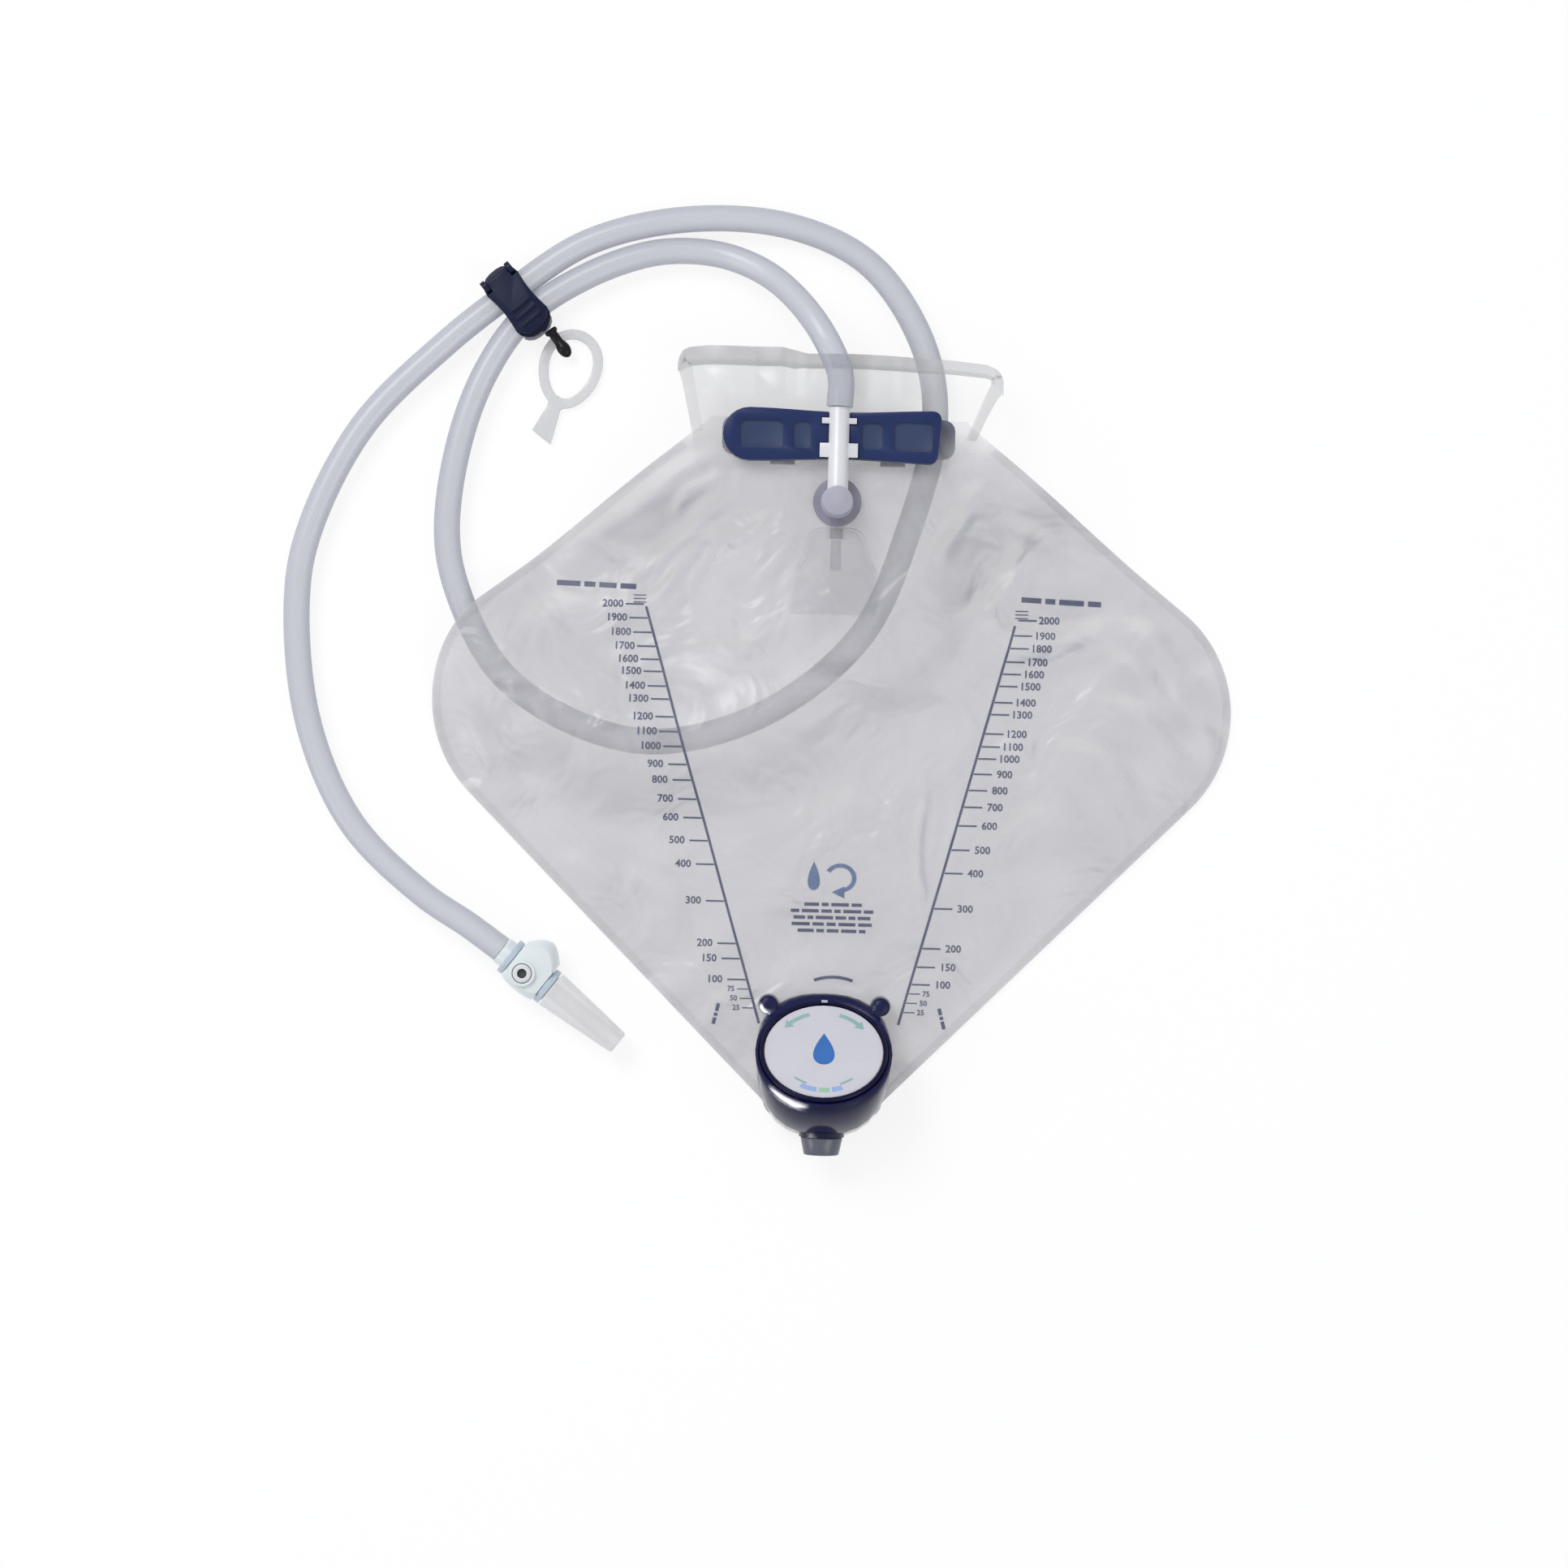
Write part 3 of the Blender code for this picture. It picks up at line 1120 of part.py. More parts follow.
def valve_body():
    """The navy housing: lofted from its foot on the film up to the tilted round rim."""
    count = 36
    rim = rim_frame()

    def build(form):
        loops = []
        for share in (0.0, 0.55, 0.87, 1.0):
            bow = share ** VALVE_BOW
            loop = []
            for index in range(count):
                angle = math.tau * index / count
                foot = base_point(angle)
                crown = rim @ Vector((RIM_RADIUS * math.cos(angle), RIM_RADIUS * math.sin(angle), 0.0))
                point = foot.lerp(crown, share)
                point.xy = foot.xy.lerp(crown.xy, bow * share)
                loop.append(form.verts.new(point))
            loops.append(loop)
        for low, high in zip(loops, loops[1:]):
            for index in range(count):
                after = (index + 1) % count
                form.faces.new((low[index], low[after], high[after], high[index]))
        form.faces.new(list(reversed(loops[0])))
        form.faces.new(loops[-1])
    body = add_piece("valve_body", mesh_from(build, "valve_body"), navy("valve_body", (0.008, 0.010, 0.045)))
    for name, x in (("ear_left", -EAR_X), ("ear_right", EAR_X)):
        ear = cone_mesh(name, EAR_RADIUS, EAR_RADIUS - EAR_DRAFT, EAR_HEIGHT, 20,
                        Matrix.Translation((x, EAR_Y, VALVE_BACK)))
        boolean(body, add_cutter(name, ear), "UNION")
    boss_radius = SPOUT_RADII[0] + BOSS_WALL
    boss = cone_mesh("spout_boss", boss_radius, boss_radius, BOSS_LENGTH, 28,
                     frame_at((0, BOSS_END + BOSS_LENGTH, SPOUT_HEIGHT), (0, -1, 0)))
    boolean(body, add_cutter("spout_boss", boss), "UNION")
    settle(body)
    recess = KNOB_OUTER + GAP
    well = cone_mesh("knob_well", recess, recess, 0.03, 48, rim_frame(KNOB_DEPTH - KNOB_PROUD + GAP))
    boolean(body, add_cutter("knob_well", well))
    bore_depth = SPINDLE_SUNK + GAP
    bore = cone_mesh("spindle_bore", SPINDLE_RADIUS + GAP, SPINDLE_RADIUS + GAP, 0.02, 28,
                     rim_frame(bore_depth))
    boolean(body, add_cutter("spindle_bore", bore))
    seat = SPOUT_RADII[0] + GAP
    spout_seat = cone_mesh("spout_seat", seat, seat, BOSS_LENGTH, 28,
                           frame_at((0, BOSS_END, SPOUT_HEIGHT), (0, -1, 0)))
    boolean(body, add_cutter("spout_seat", spout_seat))
    socket = SPOUT_RADII[0] - SPOUT_WALL
    spout_well = cone_mesh("spout_socket", socket, socket, BOSS_LENGTH, 24,
                           frame_at((0, BOSS_END + SPOUT_SOCKET, SPOUT_HEIGHT), (0, -1, 0)))
    boolean(body, add_cutter("spout_socket", spout_well))
    way = cone_mesh("spout_way", SPOUT_BORE, SPOUT_BORE, SPOUT_WAY_START - SPOUT_END, 20,
                    frame_at((0, SPOUT_WAY_START, SPOUT_HEIGHT), (0, -1, 0)))
    boolean(body, add_cutter("spout_way", way))
    inlet = cone_mesh("inlet_way", OUTLET_NECK + GAP, OUTLET_NECK + GAP, INLET_WAY + GAP, 24,
                      Matrix.Translation((0, VALVE_Y, VALVE_BACK - GAP)))
    boolean(body, add_cutter("inlet_way", inlet))


def valve_knob():
    """The turning knob: a cup with an index notch, the white dial in it, the spindle below."""
    wall = KNOB_WALL
    floor = KNOB_DEPTH - DIAL - GAP - 0.0006
    cup = [(0.0, 0.0), (KNOB_OUTER - 0.0006, 0.0), (KNOB_OUTER, 0.0006), (KNOB_OUTER, KNOB_DEPTH - 0.0006),
           (KNOB_OUTER - 0.0006, KNOB_DEPTH), (KNOB_OUTER - wall, KNOB_DEPTH), (KNOB_OUTER - wall, floor),
           (0.0, floor)]
    low = KNOB_DEPTH - KNOB_PROUD
    knob = turned("valve_knob", cup, navy("valve_knob", (0.008, 0.010, 0.045)), rim_frame(low), 48)
    settle(knob)
    notch = box_mesh("knob_notch", (-KNOB_NOTCH / 2, KNOB_OUTER - wall - 0.0004, KNOB_DEPTH - 0.0022),
                     (KNOB_NOTCH / 2, KNOB_OUTER + 0.002, KNOB_DEPTH + 0.002), rim_frame(low))
    boolean(knob, add_cutter("knob_notch", notch))
    move_origin(knob, RIM_CENTRE)
    dial = KNOB_OUTER - wall - GAP
    turned("dial_plate", [(0.0, 0.0), (dial, 0.0), (dial, DIAL - 0.0003), (dial - 0.0003, DIAL), (0.0, DIAL)],
           plastic("dial_plate", (0.72, 0.72, 0.74), 0.3), rim_frame(low - floor - GAP), 48)
    radius = SPINDLE_RADIUS
    groove = radius - 2 * SEAL_CORD - GAP
    middle = SPINDLE_SEAL_AT
    rod = [(0.0, 0.0), (radius - 0.0005, 0.0), (radius, 0.0005), (radius, middle - SEAL_CORD - GAP),
           (groove, middle - SEAL_CORD - GAP), (groove, middle + SEAL_CORD + GAP),
           (radius, middle + SEAL_CORD + GAP), (radius, SPINDLE_LENGTH), (0.0, SPINDLE_LENGTH)]
    sunk = rim_frame(SPINDLE_SUNK)
    rod_material = plastic("valve_spindle", (0.70, 0.72, 0.74), 0.4)
    spindle = turned("valve_spindle", rod, rod_material, sunk, 28)
    # Urine leaves through the spindle's side port, which a quarter turn brings to the inlet
    way = cone_mesh("spindle_way", SPINDLE_WAY, SPINDLE_WAY, 2 * SPINDLE_WAY, 20,
                    sunk @ Matrix.Translation((0, 0, -GAP)))
    boolean(spindle, add_cutter("spindle_way", way))
    port = cone_mesh("spindle_port", SPINDLE_PORT, SPINDLE_PORT, 2 * SPINDLE_RADIUS, 16,
                     sunk @ frame_at((0, 0, SPINDLE_WAY), (1, 0, 0)))
    boolean(spindle, add_cutter("spindle_port", port))
    ring = [(radius - SEAL_CORD + SEAL_CORD * math.cos(a), middle + SEAL_CORD * math.sin(a))
            for a in np.linspace(-math.pi, math.pi, 9)]
    turned("spindle_seal", ring, plastic("spindle_seal", (0.03, 0.03, 0.03), 0.7), sunk, 28)


def outlet():
    """The flange inside the bag that feeds the valve, and the grey spout below it."""
    disc_low = LOW_FILM + FILM / 2 + GAP
    neck = VALVE_BACK + 0.0012 - disc_low
    flange = [(OUTLET_BORE, 0.0), (OUTLET_RADIUS, 0.0), (OUTLET_RADIUS, OUTLET_DISC),
              (OUTLET_NECK, OUTLET_DISC), (OUTLET_NECK, neck), (OUTLET_BORE, neck), (OUTLET_BORE, 0.0)]
    turned("outlet_flange", flange, clear("outlet_flange", 0.6),
           Matrix.Translation((0, VALVE_Y, disc_low)), 28)
    shank = SPOUT_RADII[0] - SPOUT_WALL - GAP
    start = BOSS_END + SPOUT_SOCKET - GAP
    length = start - SPOUT_END
    step = SPOUT_SOCKET
    spout = [(SPOUT_BORE, 0.0), (shank, 0.0), (shank, step), (SPOUT_RADII[0], step),
             (SPOUT_RADII[1], length), (SPOUT_BORE, length), (SPOUT_BORE, 0.0)]
    turned("outlet_spout", spout, plastic("outlet_spout", (0.12, 0.13, 0.17), 0.4, 0.9),
           frame_at((0, start, SPOUT_HEIGHT), (0, -1, 0)), 28)


films()
header()
hanger_hooks()
hanger_bar()
inlet_elbow()
drip_chamber()
drain_tube()
sheet_clip()
strap()
connector()
valve_body()
valve_knob()
outlet()

# The bag is drawn about its own middle, and then centred along its whole length
for item in list(BAG.objects) + list(CUTTERS.objects):
    item.matrix_world = Matrix.Translation((0, CENTRE_SHIFT, 0)) @ item.matrix_world
for item in BAG.objects:
    if item.type == "MESH":
        shade(item)
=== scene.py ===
import math

import bpy
import numpy as np
from mathutils import Matrix, Vector


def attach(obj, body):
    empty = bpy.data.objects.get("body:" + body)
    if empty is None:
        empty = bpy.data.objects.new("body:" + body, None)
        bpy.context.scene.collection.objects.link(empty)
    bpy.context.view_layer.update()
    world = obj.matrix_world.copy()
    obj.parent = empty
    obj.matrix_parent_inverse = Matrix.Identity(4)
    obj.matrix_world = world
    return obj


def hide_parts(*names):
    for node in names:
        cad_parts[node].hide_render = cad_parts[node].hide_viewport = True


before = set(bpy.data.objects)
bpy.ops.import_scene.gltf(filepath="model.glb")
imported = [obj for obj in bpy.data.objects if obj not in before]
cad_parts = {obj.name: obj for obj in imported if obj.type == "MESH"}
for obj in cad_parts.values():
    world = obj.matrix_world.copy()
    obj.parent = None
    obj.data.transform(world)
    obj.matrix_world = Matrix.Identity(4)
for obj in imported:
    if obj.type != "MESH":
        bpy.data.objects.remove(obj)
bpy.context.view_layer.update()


# The table and the light. The bag is photographed from straight above on a plain white
# table, under one large soft lamp at the upper left and a weaker one at the lower right.
# The camera is turned a little, because the bag lies a little askew in the picture.

CAMERA_PLACE = (-0.0166, -0.0099, 1.5)
CAMERA_TURN = 0.02443
SENSOR_WIDTH = 36.0
LENS = 94.8
# Each lamp's name, place, two sides in metres and power in watts
LAMPS = (("lamp_upper_left", (-0.75, 0.85, 1.25), (0.9, 0.7), 17.0),
         ("lamp_lower_right", (0.95, -0.55, 1.10), (1.1, 0.9), 6.0),
         ("lamp_low_left", (-1.10, -0.45, 0.50), (0.5, 0.5), 2.2))
WHITE = (1.0, 1.0, 1.0, 1.0)
SKY_TINT = (0.94, 0.96, 1.0, 1.0)
SKY_STRENGTH = 0.52
TABLE_GREY = (0.90, 0.90, 0.90, 1.0)
TABLE_ROUGHNESS = 0.9
TABLE_GLOW = 0.82
TABLE_SIDE = 30.0
TABLE_DROP = 0.0003

bpy.ops.object.camera_add(location=CAMERA_PLACE, rotation=(0.0, 0.0, CAMERA_TURN))
camera = bpy.context.object
camera.name = "camera_above"
camera.data.sensor_width = SENSOR_WIDTH
camera.data.lens = LENS
bpy.context.scene.camera = camera
bpy.context.scene.view_settings.view_transform = "Standard"


def area_lamp(name, place, sides, watts):
    """A soft rectangular lamp that faces the middle of the table."""
    bpy.ops.object.light_add(type="AREA", location=place)
    lamp = bpy.context.object
    lamp.name = name
    lamp.data.shape = "RECTANGLE"
    lamp.data.size, lamp.data.size_y = sides
    lamp.data.energy = watts
    lamp.rotation_euler = (-Vector(place)).to_track_quat("-Z", "Y").to_euler()
    return lamp


for lamp in LAMPS:
    area_lamp(*lamp)


def set_inputs(node, **settings):
    """Set a node's inputs by their names, with _ for a space."""
    for label, value in settings.items():
        node.inputs[label.replace("_", " ")].default_value = value


def add_node(tree, kind, group=None, **settings):
    """A new node, run by a shared group if one is given, with some inputs set."""
    node = tree.nodes.new("ShaderNode" + kind)
    if group:
        node.node_tree = group
    set_inputs(node, **settings)
    return node


def join(source, output, target, entry):
    """Lead one node's output to another's input."""
    source.id_data.links.new(source.outputs[output], target.inputs[entry])


def seen_by_eye(tree):
    """One for rays that show the background: to the camera, in gloss and through glass."""
    path = add_node(tree, "LightPath")
    total = path.outputs["Is Camera Ray"]
    for other in ("Is Glossy Ray", "Is Transmission Ray"):
        step = add_node(tree, "Math")
        step.operation = "MAXIMUM"
        tree.links.new(total, step.inputs[0])
        join(path, other, step, 1)
        total = step.outputs[0]
    return total


def mixed_surface(tree, share, first, second, output):
    """Two shaders mixed by a share, led to the surface."""
    mix = add_node(tree, "MixShader")
    tree.links.new(share, mix.inputs[0])
    join(first, 0, mix, 1)
    join(second, 0, mix, 2)
    join(mix, 0, tree.nodes[output], "Surface")


world = bpy.data.worlds.new("studio")
bpy.context.scene.world = world
world.use_nodes = True
sky = world.node_tree
sky_light = sky.nodes["Background"]
set_inputs(sky_light, Color=SKY_TINT, Strength=SKY_STRENGTH)
sky_white = add_node(sky, "Background", Color=WHITE)
mixed_surface(sky, seen_by_eye(sky), sky_light, sky_white, "World Output")

table_white = bpy.data.materials.new("table_white")
table_white.use_nodes = True
table = table_white.node_tree
table_paint = table.nodes["Principled BSDF"]
set_inputs(table_paint, Base_Color=TABLE_GREY, Roughness=TABLE_ROUGHNESS)
table_glow = add_node(table, "Emission", Color=WHITE)
table_share = add_node(table, "Math")
table_share.operation = "MULTIPLY"
table_share.inputs[1].default_value = TABLE_GLOW
table.links.new(seen_by_eye(table), table_share.inputs[0])
mixed_surface(table, table_share.outputs[0], table_paint, table_glow, "Material Output")

bpy.ops.mesh.primitive_plane_add(size=TABLE_SIDE, location=(0.0, 0.0, -TABLE_DROP))
table_top = bpy.context.object
table_top.name = "table_top"
table_top.data.materials.append(table_white)


# Drain tube. Clear soft PVC tube, 9.5 mm outside and about a metre long, pushed on the
# inlet stem. It runs under the sheet clip twice, once on its way to the bag's back, where
# the bag lies on it, and once on its way out to the catheter connector.

TUBE = 0.0095
TUBE_RISE = 0.02705
TUBE_REST = 0.0048
TUBE_SPACING = 0.0025
# Places up the bag are measured from a point this far above the frame's origin
SHIFT = 0.0035
TUBE_DOWN = (
    (0.0000, 0.1217, TUBE_RISE), (0.0000, 0.1330, TUBE_RISE), (-0.0060, 0.1465, 0.0270),
    (-0.0161, 0.1605, 0.0195), (-0.0279, 0.1708, 0.0112), (-0.0421, 0.1770, 0.0060))
TUBE_AT_REST = (
    (-0.0563, 0.1787), (-0.0707, 0.1771), (-0.0919, 0.1690), (-0.1137, 0.1543), (-0.1273, 0.1349),
    (-0.1367, 0.1093), (-0.1409, 0.0763), (-0.1371, 0.0555), (-0.1211, 0.0256), (-0.0954, 0.0080),
    (-0.0640, 0.0008), (-0.0249, 0.0117), (0.0097, 0.0405), (0.0262, 0.0792), (0.0349, 0.1191),
    (0.0298, 0.1469), (0.0100, 0.1753), (-0.0186, 0.1884), (-0.0569, 0.1901), (-0.0922, 0.1810),
    (-0.1203, 0.1618), (-0.1434, 0.1427), (-0.1726, 0.1120), (-0.1908, 0.0739), (-0.1946, 0.0488),
    (-0.1894, 0.0048), (-0.1730, -0.0310))
TUBE_UP = ((-0.1468, -0.0560, 0.0060), (-0.1293, -0.0672, 0.0069), (-0.1172, -0.0757, 0.0071))
TUBE_ROUTE = TUBE_DOWN + tuple((*place, TUBE_REST) for place in TUBE_AT_REST) + TUBE_UP
TUBE_UNDER_BAG = (12, 21)
SPLINE_STEPS = 12
SPLINE_SPANS = (((0, 1), (1, 2), (2, 3)), ((0, 2), (1, 3)), ((1, 2),))


def tube_line(points, spacing):
    """Even points on a centripetal spline through the tube's route."""
    route = [Vector(p) for p in points]
    route = [2 * route[0] - route[1]] + route + [2 * route[-1] - route[-2]]
    fine = []
    for a, b, c, d in zip(route, route[1:], route[2:], route[3:]):
        knots = [0.0]
        for p, q in ((a, b), (b, c), (c, d)):
            knots.append(knots[-1] + max((q - p).length, 1e-6) ** 0.5)
        for step in range(SPLINE_STEPS):
            t = knots[1] + (knots[2] - knots[1]) * step / SPLINE_STEPS
            level = [a, b, c, d]
            for spans in SPLINE_SPANS:
                level = [level[k].lerp(level[k + 1], (t - knots[low]) / (knots[high] - knots[low]))
                         for k, (low, high) in enumerate(spans)]
            fine.append(level[0])
    fine.append(route[-2])
    reach = [0.0]
    for p, q in zip(fine, fine[1:]):
        reach.append(reach[-1] + (q - p).length)
    grid = np.linspace(0.0, reach[-1], int(reach[-1] / spacing) + 1)
    axes = [np.interp(grid, reach, [p[k] for p in fine]) for k in range(3)]
    return [Vector((x, y + SHIFT, z)) for x, y, z in zip(*axes)], reach[-1]


def placed(name, data):
    """A new object in the scene, alone selected."""
    piece = bpy.data.objects.new(name, data)
    bpy.context.scene.collection.objects.link(piece)
    bpy.ops.object.select_all(action="DESELECT")
    piece.select_set(True)
    bpy.context.view_layer.objects.active = piece
    return piece


def drawn(name, places, faces):
    """A new piece from its places and faces, alone selected."""
    mesh = bpy.data.meshes.new(name)
    mesh.from_pydata(places, [], faces)
    mesh.update()
    return placed(name, mesh)


tube_points, tube_length = tube_line(TUBE_ROUTE, TUBE_SPACING)
tube_curve = bpy.data.curves.new("drain_tube_clear", "CURVE")
tube_curve.dimensions = "3D"
tube_curve.bevel_depth = TUBE / 2
tube_curve.bevel_resolution = 6
tube_curve.use_fill_caps = True
tube_spline = tube_curve.splines.new("POLY")
tube_spline.points.add(len(tube_points) - 1)
for tube_point, place in zip(tube_spline.points, tube_points):
    tube_point.co = (*place, 1.0)
tube = placed("drain_tube_clear", tube_curve)


def node_group(name, inputs, outputs):
    """A new group of nodes: number inputs with their starting values, and outputs by kind."""
    group = bpy.data.node_groups.new(name, "ShaderNodeTree")
    for label, start in inputs:
        socket = group.interface.new_socket(label, in_out="INPUT", socket_type="NodeSocketFloat")
        socket.default_value = start
    for label, kind in outputs:
        group.interface.new_socket(label, in_out="OUTPUT", socket_type="NodeSocket" + kind)
    return group, group.nodes.new("NodeGroupInput"), group.nodes.new("NodeGroupOutput")


def add_noise(tree, **settings):
    """Noise that stays with the piece, in the piece's own space."""
    where = add_node(tree, "TexCoord")
    noise = add_node(tree, "TexNoise", **settings)
    join(where, "Object", noise, "Vector")
    return noise


def add_bump(tree, noise, strength, distance):
    """Small relief from a noise, as deep as a strength says."""
    bump = add_node(tree, "Bump", Distance=distance)
    join(noise, "Fac", bump, "Height")
    tree.links.new(strength, bump.inputs["Strength"])
    return bump


def soft_haze_group():
    """Broad cloudiness, soft folds and a fine orange peel, as calendered and extruded PVC has."""
    group, inside, outside = node_group(
        "soft_haze", (("Cloud Scale", 30.0), ("Peel Depth", 0.05), ("Fold Depth", 0.0)),
        (("Cloud", "Float"), ("Roughness", "Float"), ("Normal", "Vector")))
    cloud = add_noise(group, Detail=3.0)
    peel = add_noise(group, Detail=2.0, Scale=900.0)
    folds = add_noise(group, Detail=2.0, Scale=34.0, Distortion=1.4)
    dull = add_node(group, "MapRange", To_Min=0.14, To_Max=0.34)
    crumple = add_bump(group, folds, inside.outputs["Fold Depth"], 0.004)
    bump = add_bump(group, peel, inside.outputs["Peel Depth"], 0.0002)
    join(inside, "Cloud Scale", cloud, "Scale")
    join(crumple, "Normal", bump, "Normal")
    join(cloud, "Fac", outside, "Cloud")
    join(cloud, "Fac", dull, "Value")
    join(dull, "Result", outside, "Roughness")
    join(bump, "Normal", outside, "Normal")
    return group


soft_haze = soft_haze_group()


def new_material(name, level):
    """A material with its shader, as bright at a glance as the level says."""
    material = bpy.data.materials.new(name)
    material.use_nodes = True
    shader = material.node_tree.nodes["Principled BSDF"]
    set_inputs(shader, Specular_IOR_Level=level)
    return material, material.node_tree, shader


def mottled(tree, shader, share, first, second):
    """A base colour that wanders between two tones."""
    mix = add_node(tree, "Mix")
    mix.data_type = "RGBA"
    set_inputs(mix, A=(*first, 1.0), B=(*second, 1.0))
    tree.links.new(share, mix.inputs["Factor"])
    join(mix, "Result", shader, "Base Color")


def pvc(name, pale, deep, thin, thick, cloud_scale, peel_depth, edge=0.35, level=0.5, folds=0.0,
        density=""):
    """Clear or milky PVC: see-through face on, denser where the wall is seen aslant.

    A vertex attribute can thin the wall in places or, above one, lay more film over it; on the bag's front
    film it also carries painted shade and light across the folds.
    """
    material, tree, shader = new_material(name, level)
    haze = add_node(tree, "Group", soft_haze, Cloud_Scale=cloud_scale, Peel_Depth=peel_depth,
                    Fold_Depth=folds)
    slant = add_node(tree, "LayerWeight", Blend=edge)
    dense = add_node(tree, "MapRange", To_Min=thin, To_Max=thick)
    join(slant, "Facing", dense, "Value")
    join(dense, "Result", shader, "Alpha")
    if density:
        layers = add_node(tree, "Attribute")
        layers.attribute_name = density
        times = add_node(tree, "Math")
        times.operation = "MULTIPLY"
        times.use_clamp = True
        join(dense, "Result", times, 0)
        join(layers, "Fac", times, 1)
        join(times, 0, shader, "Alpha")
    mottled(tree, shader, haze.outputs["Cloud"], pale, deep)
    join(haze, "Roughness", shader, "Roughness")
    join(haze, "Normal", shader, "Normal")
    return material


clear_pvc = pvc("clear_tube_pvc", (0.50, 0.52, 0.58), (0.36, 0.38, 0.45), 0.42, 0.96, 6.0, 0.0, 0.42)
tube_curve.materials.append(clear_pvc)
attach(tube, "bag")
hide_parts("drain_tube")


# Sheet clip. A dark navy moulded clip: a saddle that holds both runs of the tube side by
# side, with a ribbed lid hinged on one end that is pressed down to grip the bed sheet.

def moulding_grain_group():
    """The faint grain and flow marks of an injection moulding."""
    group, inside, outside = node_group(
        "moulding_grain", (("Grain Depth", 0.08), ("Low Gloss", 0.45), ("High Gloss", 0.28)),
        (("Flow", "Float"), ("Roughness", "Float"), ("Normal", "Vector")))
    flow = add_noise(group, Detail=4.0, Scale=60.0, Distortion=0.6)
    grain = add_noise(group, Detail=3.0, Scale=700.0)
    gloss = add_node(group, "MapRange")
    bump = add_bump(group, grain, inside.outputs["Grain Depth"], 0.0001)
    join(inside, "High Gloss", gloss, "To Min")
    join(inside, "Low Gloss", gloss, "To Max")
    join(flow, "Fac", gloss, "Value")
    join(flow, "Fac", outside, "Flow")
    join(gloss, "Result", outside, "Roughness")
    join(bump, "Normal", outside, "Normal")
    return group


moulding_grain = moulding_grain_group()


def plastic(name, colour, flowed, high_gloss, low_gloss, depth=0.08, level=0.5, radius=0.0):
    """Opaque injection-moulded plastic in one colour, with slight flow marks and soft edges."""
    material, tree, shader = new_material(name, level)
    grain = add_node(tree, "Group", moulding_grain, Grain_Depth=depth, High_Gloss=high_gloss,
                     Low_Gloss=low_gloss)
    mottled(tree, shader, grain.outputs["Flow"], colour, flowed)
    join(grain, "Roughness", shader, "Roughness")
    join(grain, "Normal", shader, "Normal")
    if radius:
        soft = add_node(tree, "Bevel", Radius=radius)
        soft.samples = 6
        join(soft, "Normal", shader, "Normal")
    return material


MERGE = 0.000005
FLAT_WITHIN = math.radians(0.6)
SMOOTH_MARGIN = 6.0


def moulding(node, material, edge=0.0003, sharp=32.0, body="bag"):
    """A moulding as it leaves the tool: merged flats, edges broken by a small radius."""
    piece = placed(node + "_moulding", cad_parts[node].data.copy())
    bpy.ops.mesh.customdata_custom_splitnormals_clear()
    bpy.ops.object.mode_set(mode="EDIT")
    bpy.ops.mesh.select_all(action="SELECT")
    bpy.ops.mesh.remove_doubles(threshold=MERGE)
    bpy.ops.mesh.dissolve_limited(angle_limit=FLAT_WITHIN)
    bpy.ops.object.mode_set(mode="OBJECT")
    if edge:
        step = piece.modifiers.new("broken_edges", "BEVEL")
        step.width = edge
        step.segments = 2
        step.limit_method = "ANGLE"
        step.angle_limit = math.radians(sharp)
        bpy.ops.object.modifier_apply(modifier=step.name)
    bpy.ops.object.shade_smooth_by_angle(angle=math.radians(sharp + SMOOTH_MARGIN))
    piece.data.materials.clear()
    piece.data.materials.append(material)
    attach(piece, body)
    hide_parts(node)
    return piece


clip_navy = plastic("clip_navy", (0.0035, 0.006, 0.024), (0.007, 0.011, 0.036), 0.28, 0.44, 0.10, 0.14)
clip_saddle = moulding("clip_base", clip_navy, 0.0005)
clip_lid = moulding("clip_jaw", clip_navy, body="jaw")


# Clip bead and strap. A black bead on a short neck snaps into the clip's end, and a soft
# milky strap with a flared tail is looped over it, to tie the tube to a leg or a pin.

bead_black = plastic("bead_black", (0.003, 0.003, 0.005), (0.008, 0.008, 0.011), 0.24, 0.38, 0.05, 0.16)
clip_button = moulding("clip_bead", bead_black, 0.0002)
strap_rubber = pvc("strap_milky", (0.66, 0.66, 0.68), (0.54, 0.54, 0.56), 0.50, 0.92, 60.0, 0.10, 0.4)
strap = moulding("strap_loop", strap_rubber, 0.0004)


# Catheter connector. The tube's end is glued in a bulb of pale translucent plastic with a
# needle-free sampling port on top; two blue-grey collars close it, and a tapered adapter
# with an open bore pushes into the catheter's funnel.

PORT_SPOT = Vector((-0.10919, -0.08033))
PORT_MOUTH = 0.0020
bulb_plastic = pvc("connector_bulb", (0.80, 0.85, 0.86), (0.68, 0.74, 0.77), 0.78, 1.0, 50.0, 0.04, 0.4)
collar_plastic = pvc("connector_collars", (0.46, 0.55, 0.64), (0.56, 0.65, 0.73), 0.80, 1.0, 60.0,
                     0.03, 0.4)
adapter_plastic = pvc("connector_adapter", (0.86, 0.855, 0.86), (0.74, 0.735, 0.74), 0.50, 0.96, 40.0,
                      0.04, 0.45)
septum_ring = plastic("port_ring", (0.56, 0.58, 0.60), (0.64, 0.66, 0.68), 0.35, 0.50, 0.1, 0.4)
septum_rubber = plastic("port_rubber", (0.04, 0.042, 0.045), (0.08, 0.083, 0.088), 0.55, 0.75, 0.2, 0.3)
bulb = moulding("sample_port_body", bulb_plastic, 0.0004)
port_plug = moulding("port_septum", septum_ring, 0.00015)
port_plug.data.materials.append(septum_rubber)
plug_mesh = port_plug.data
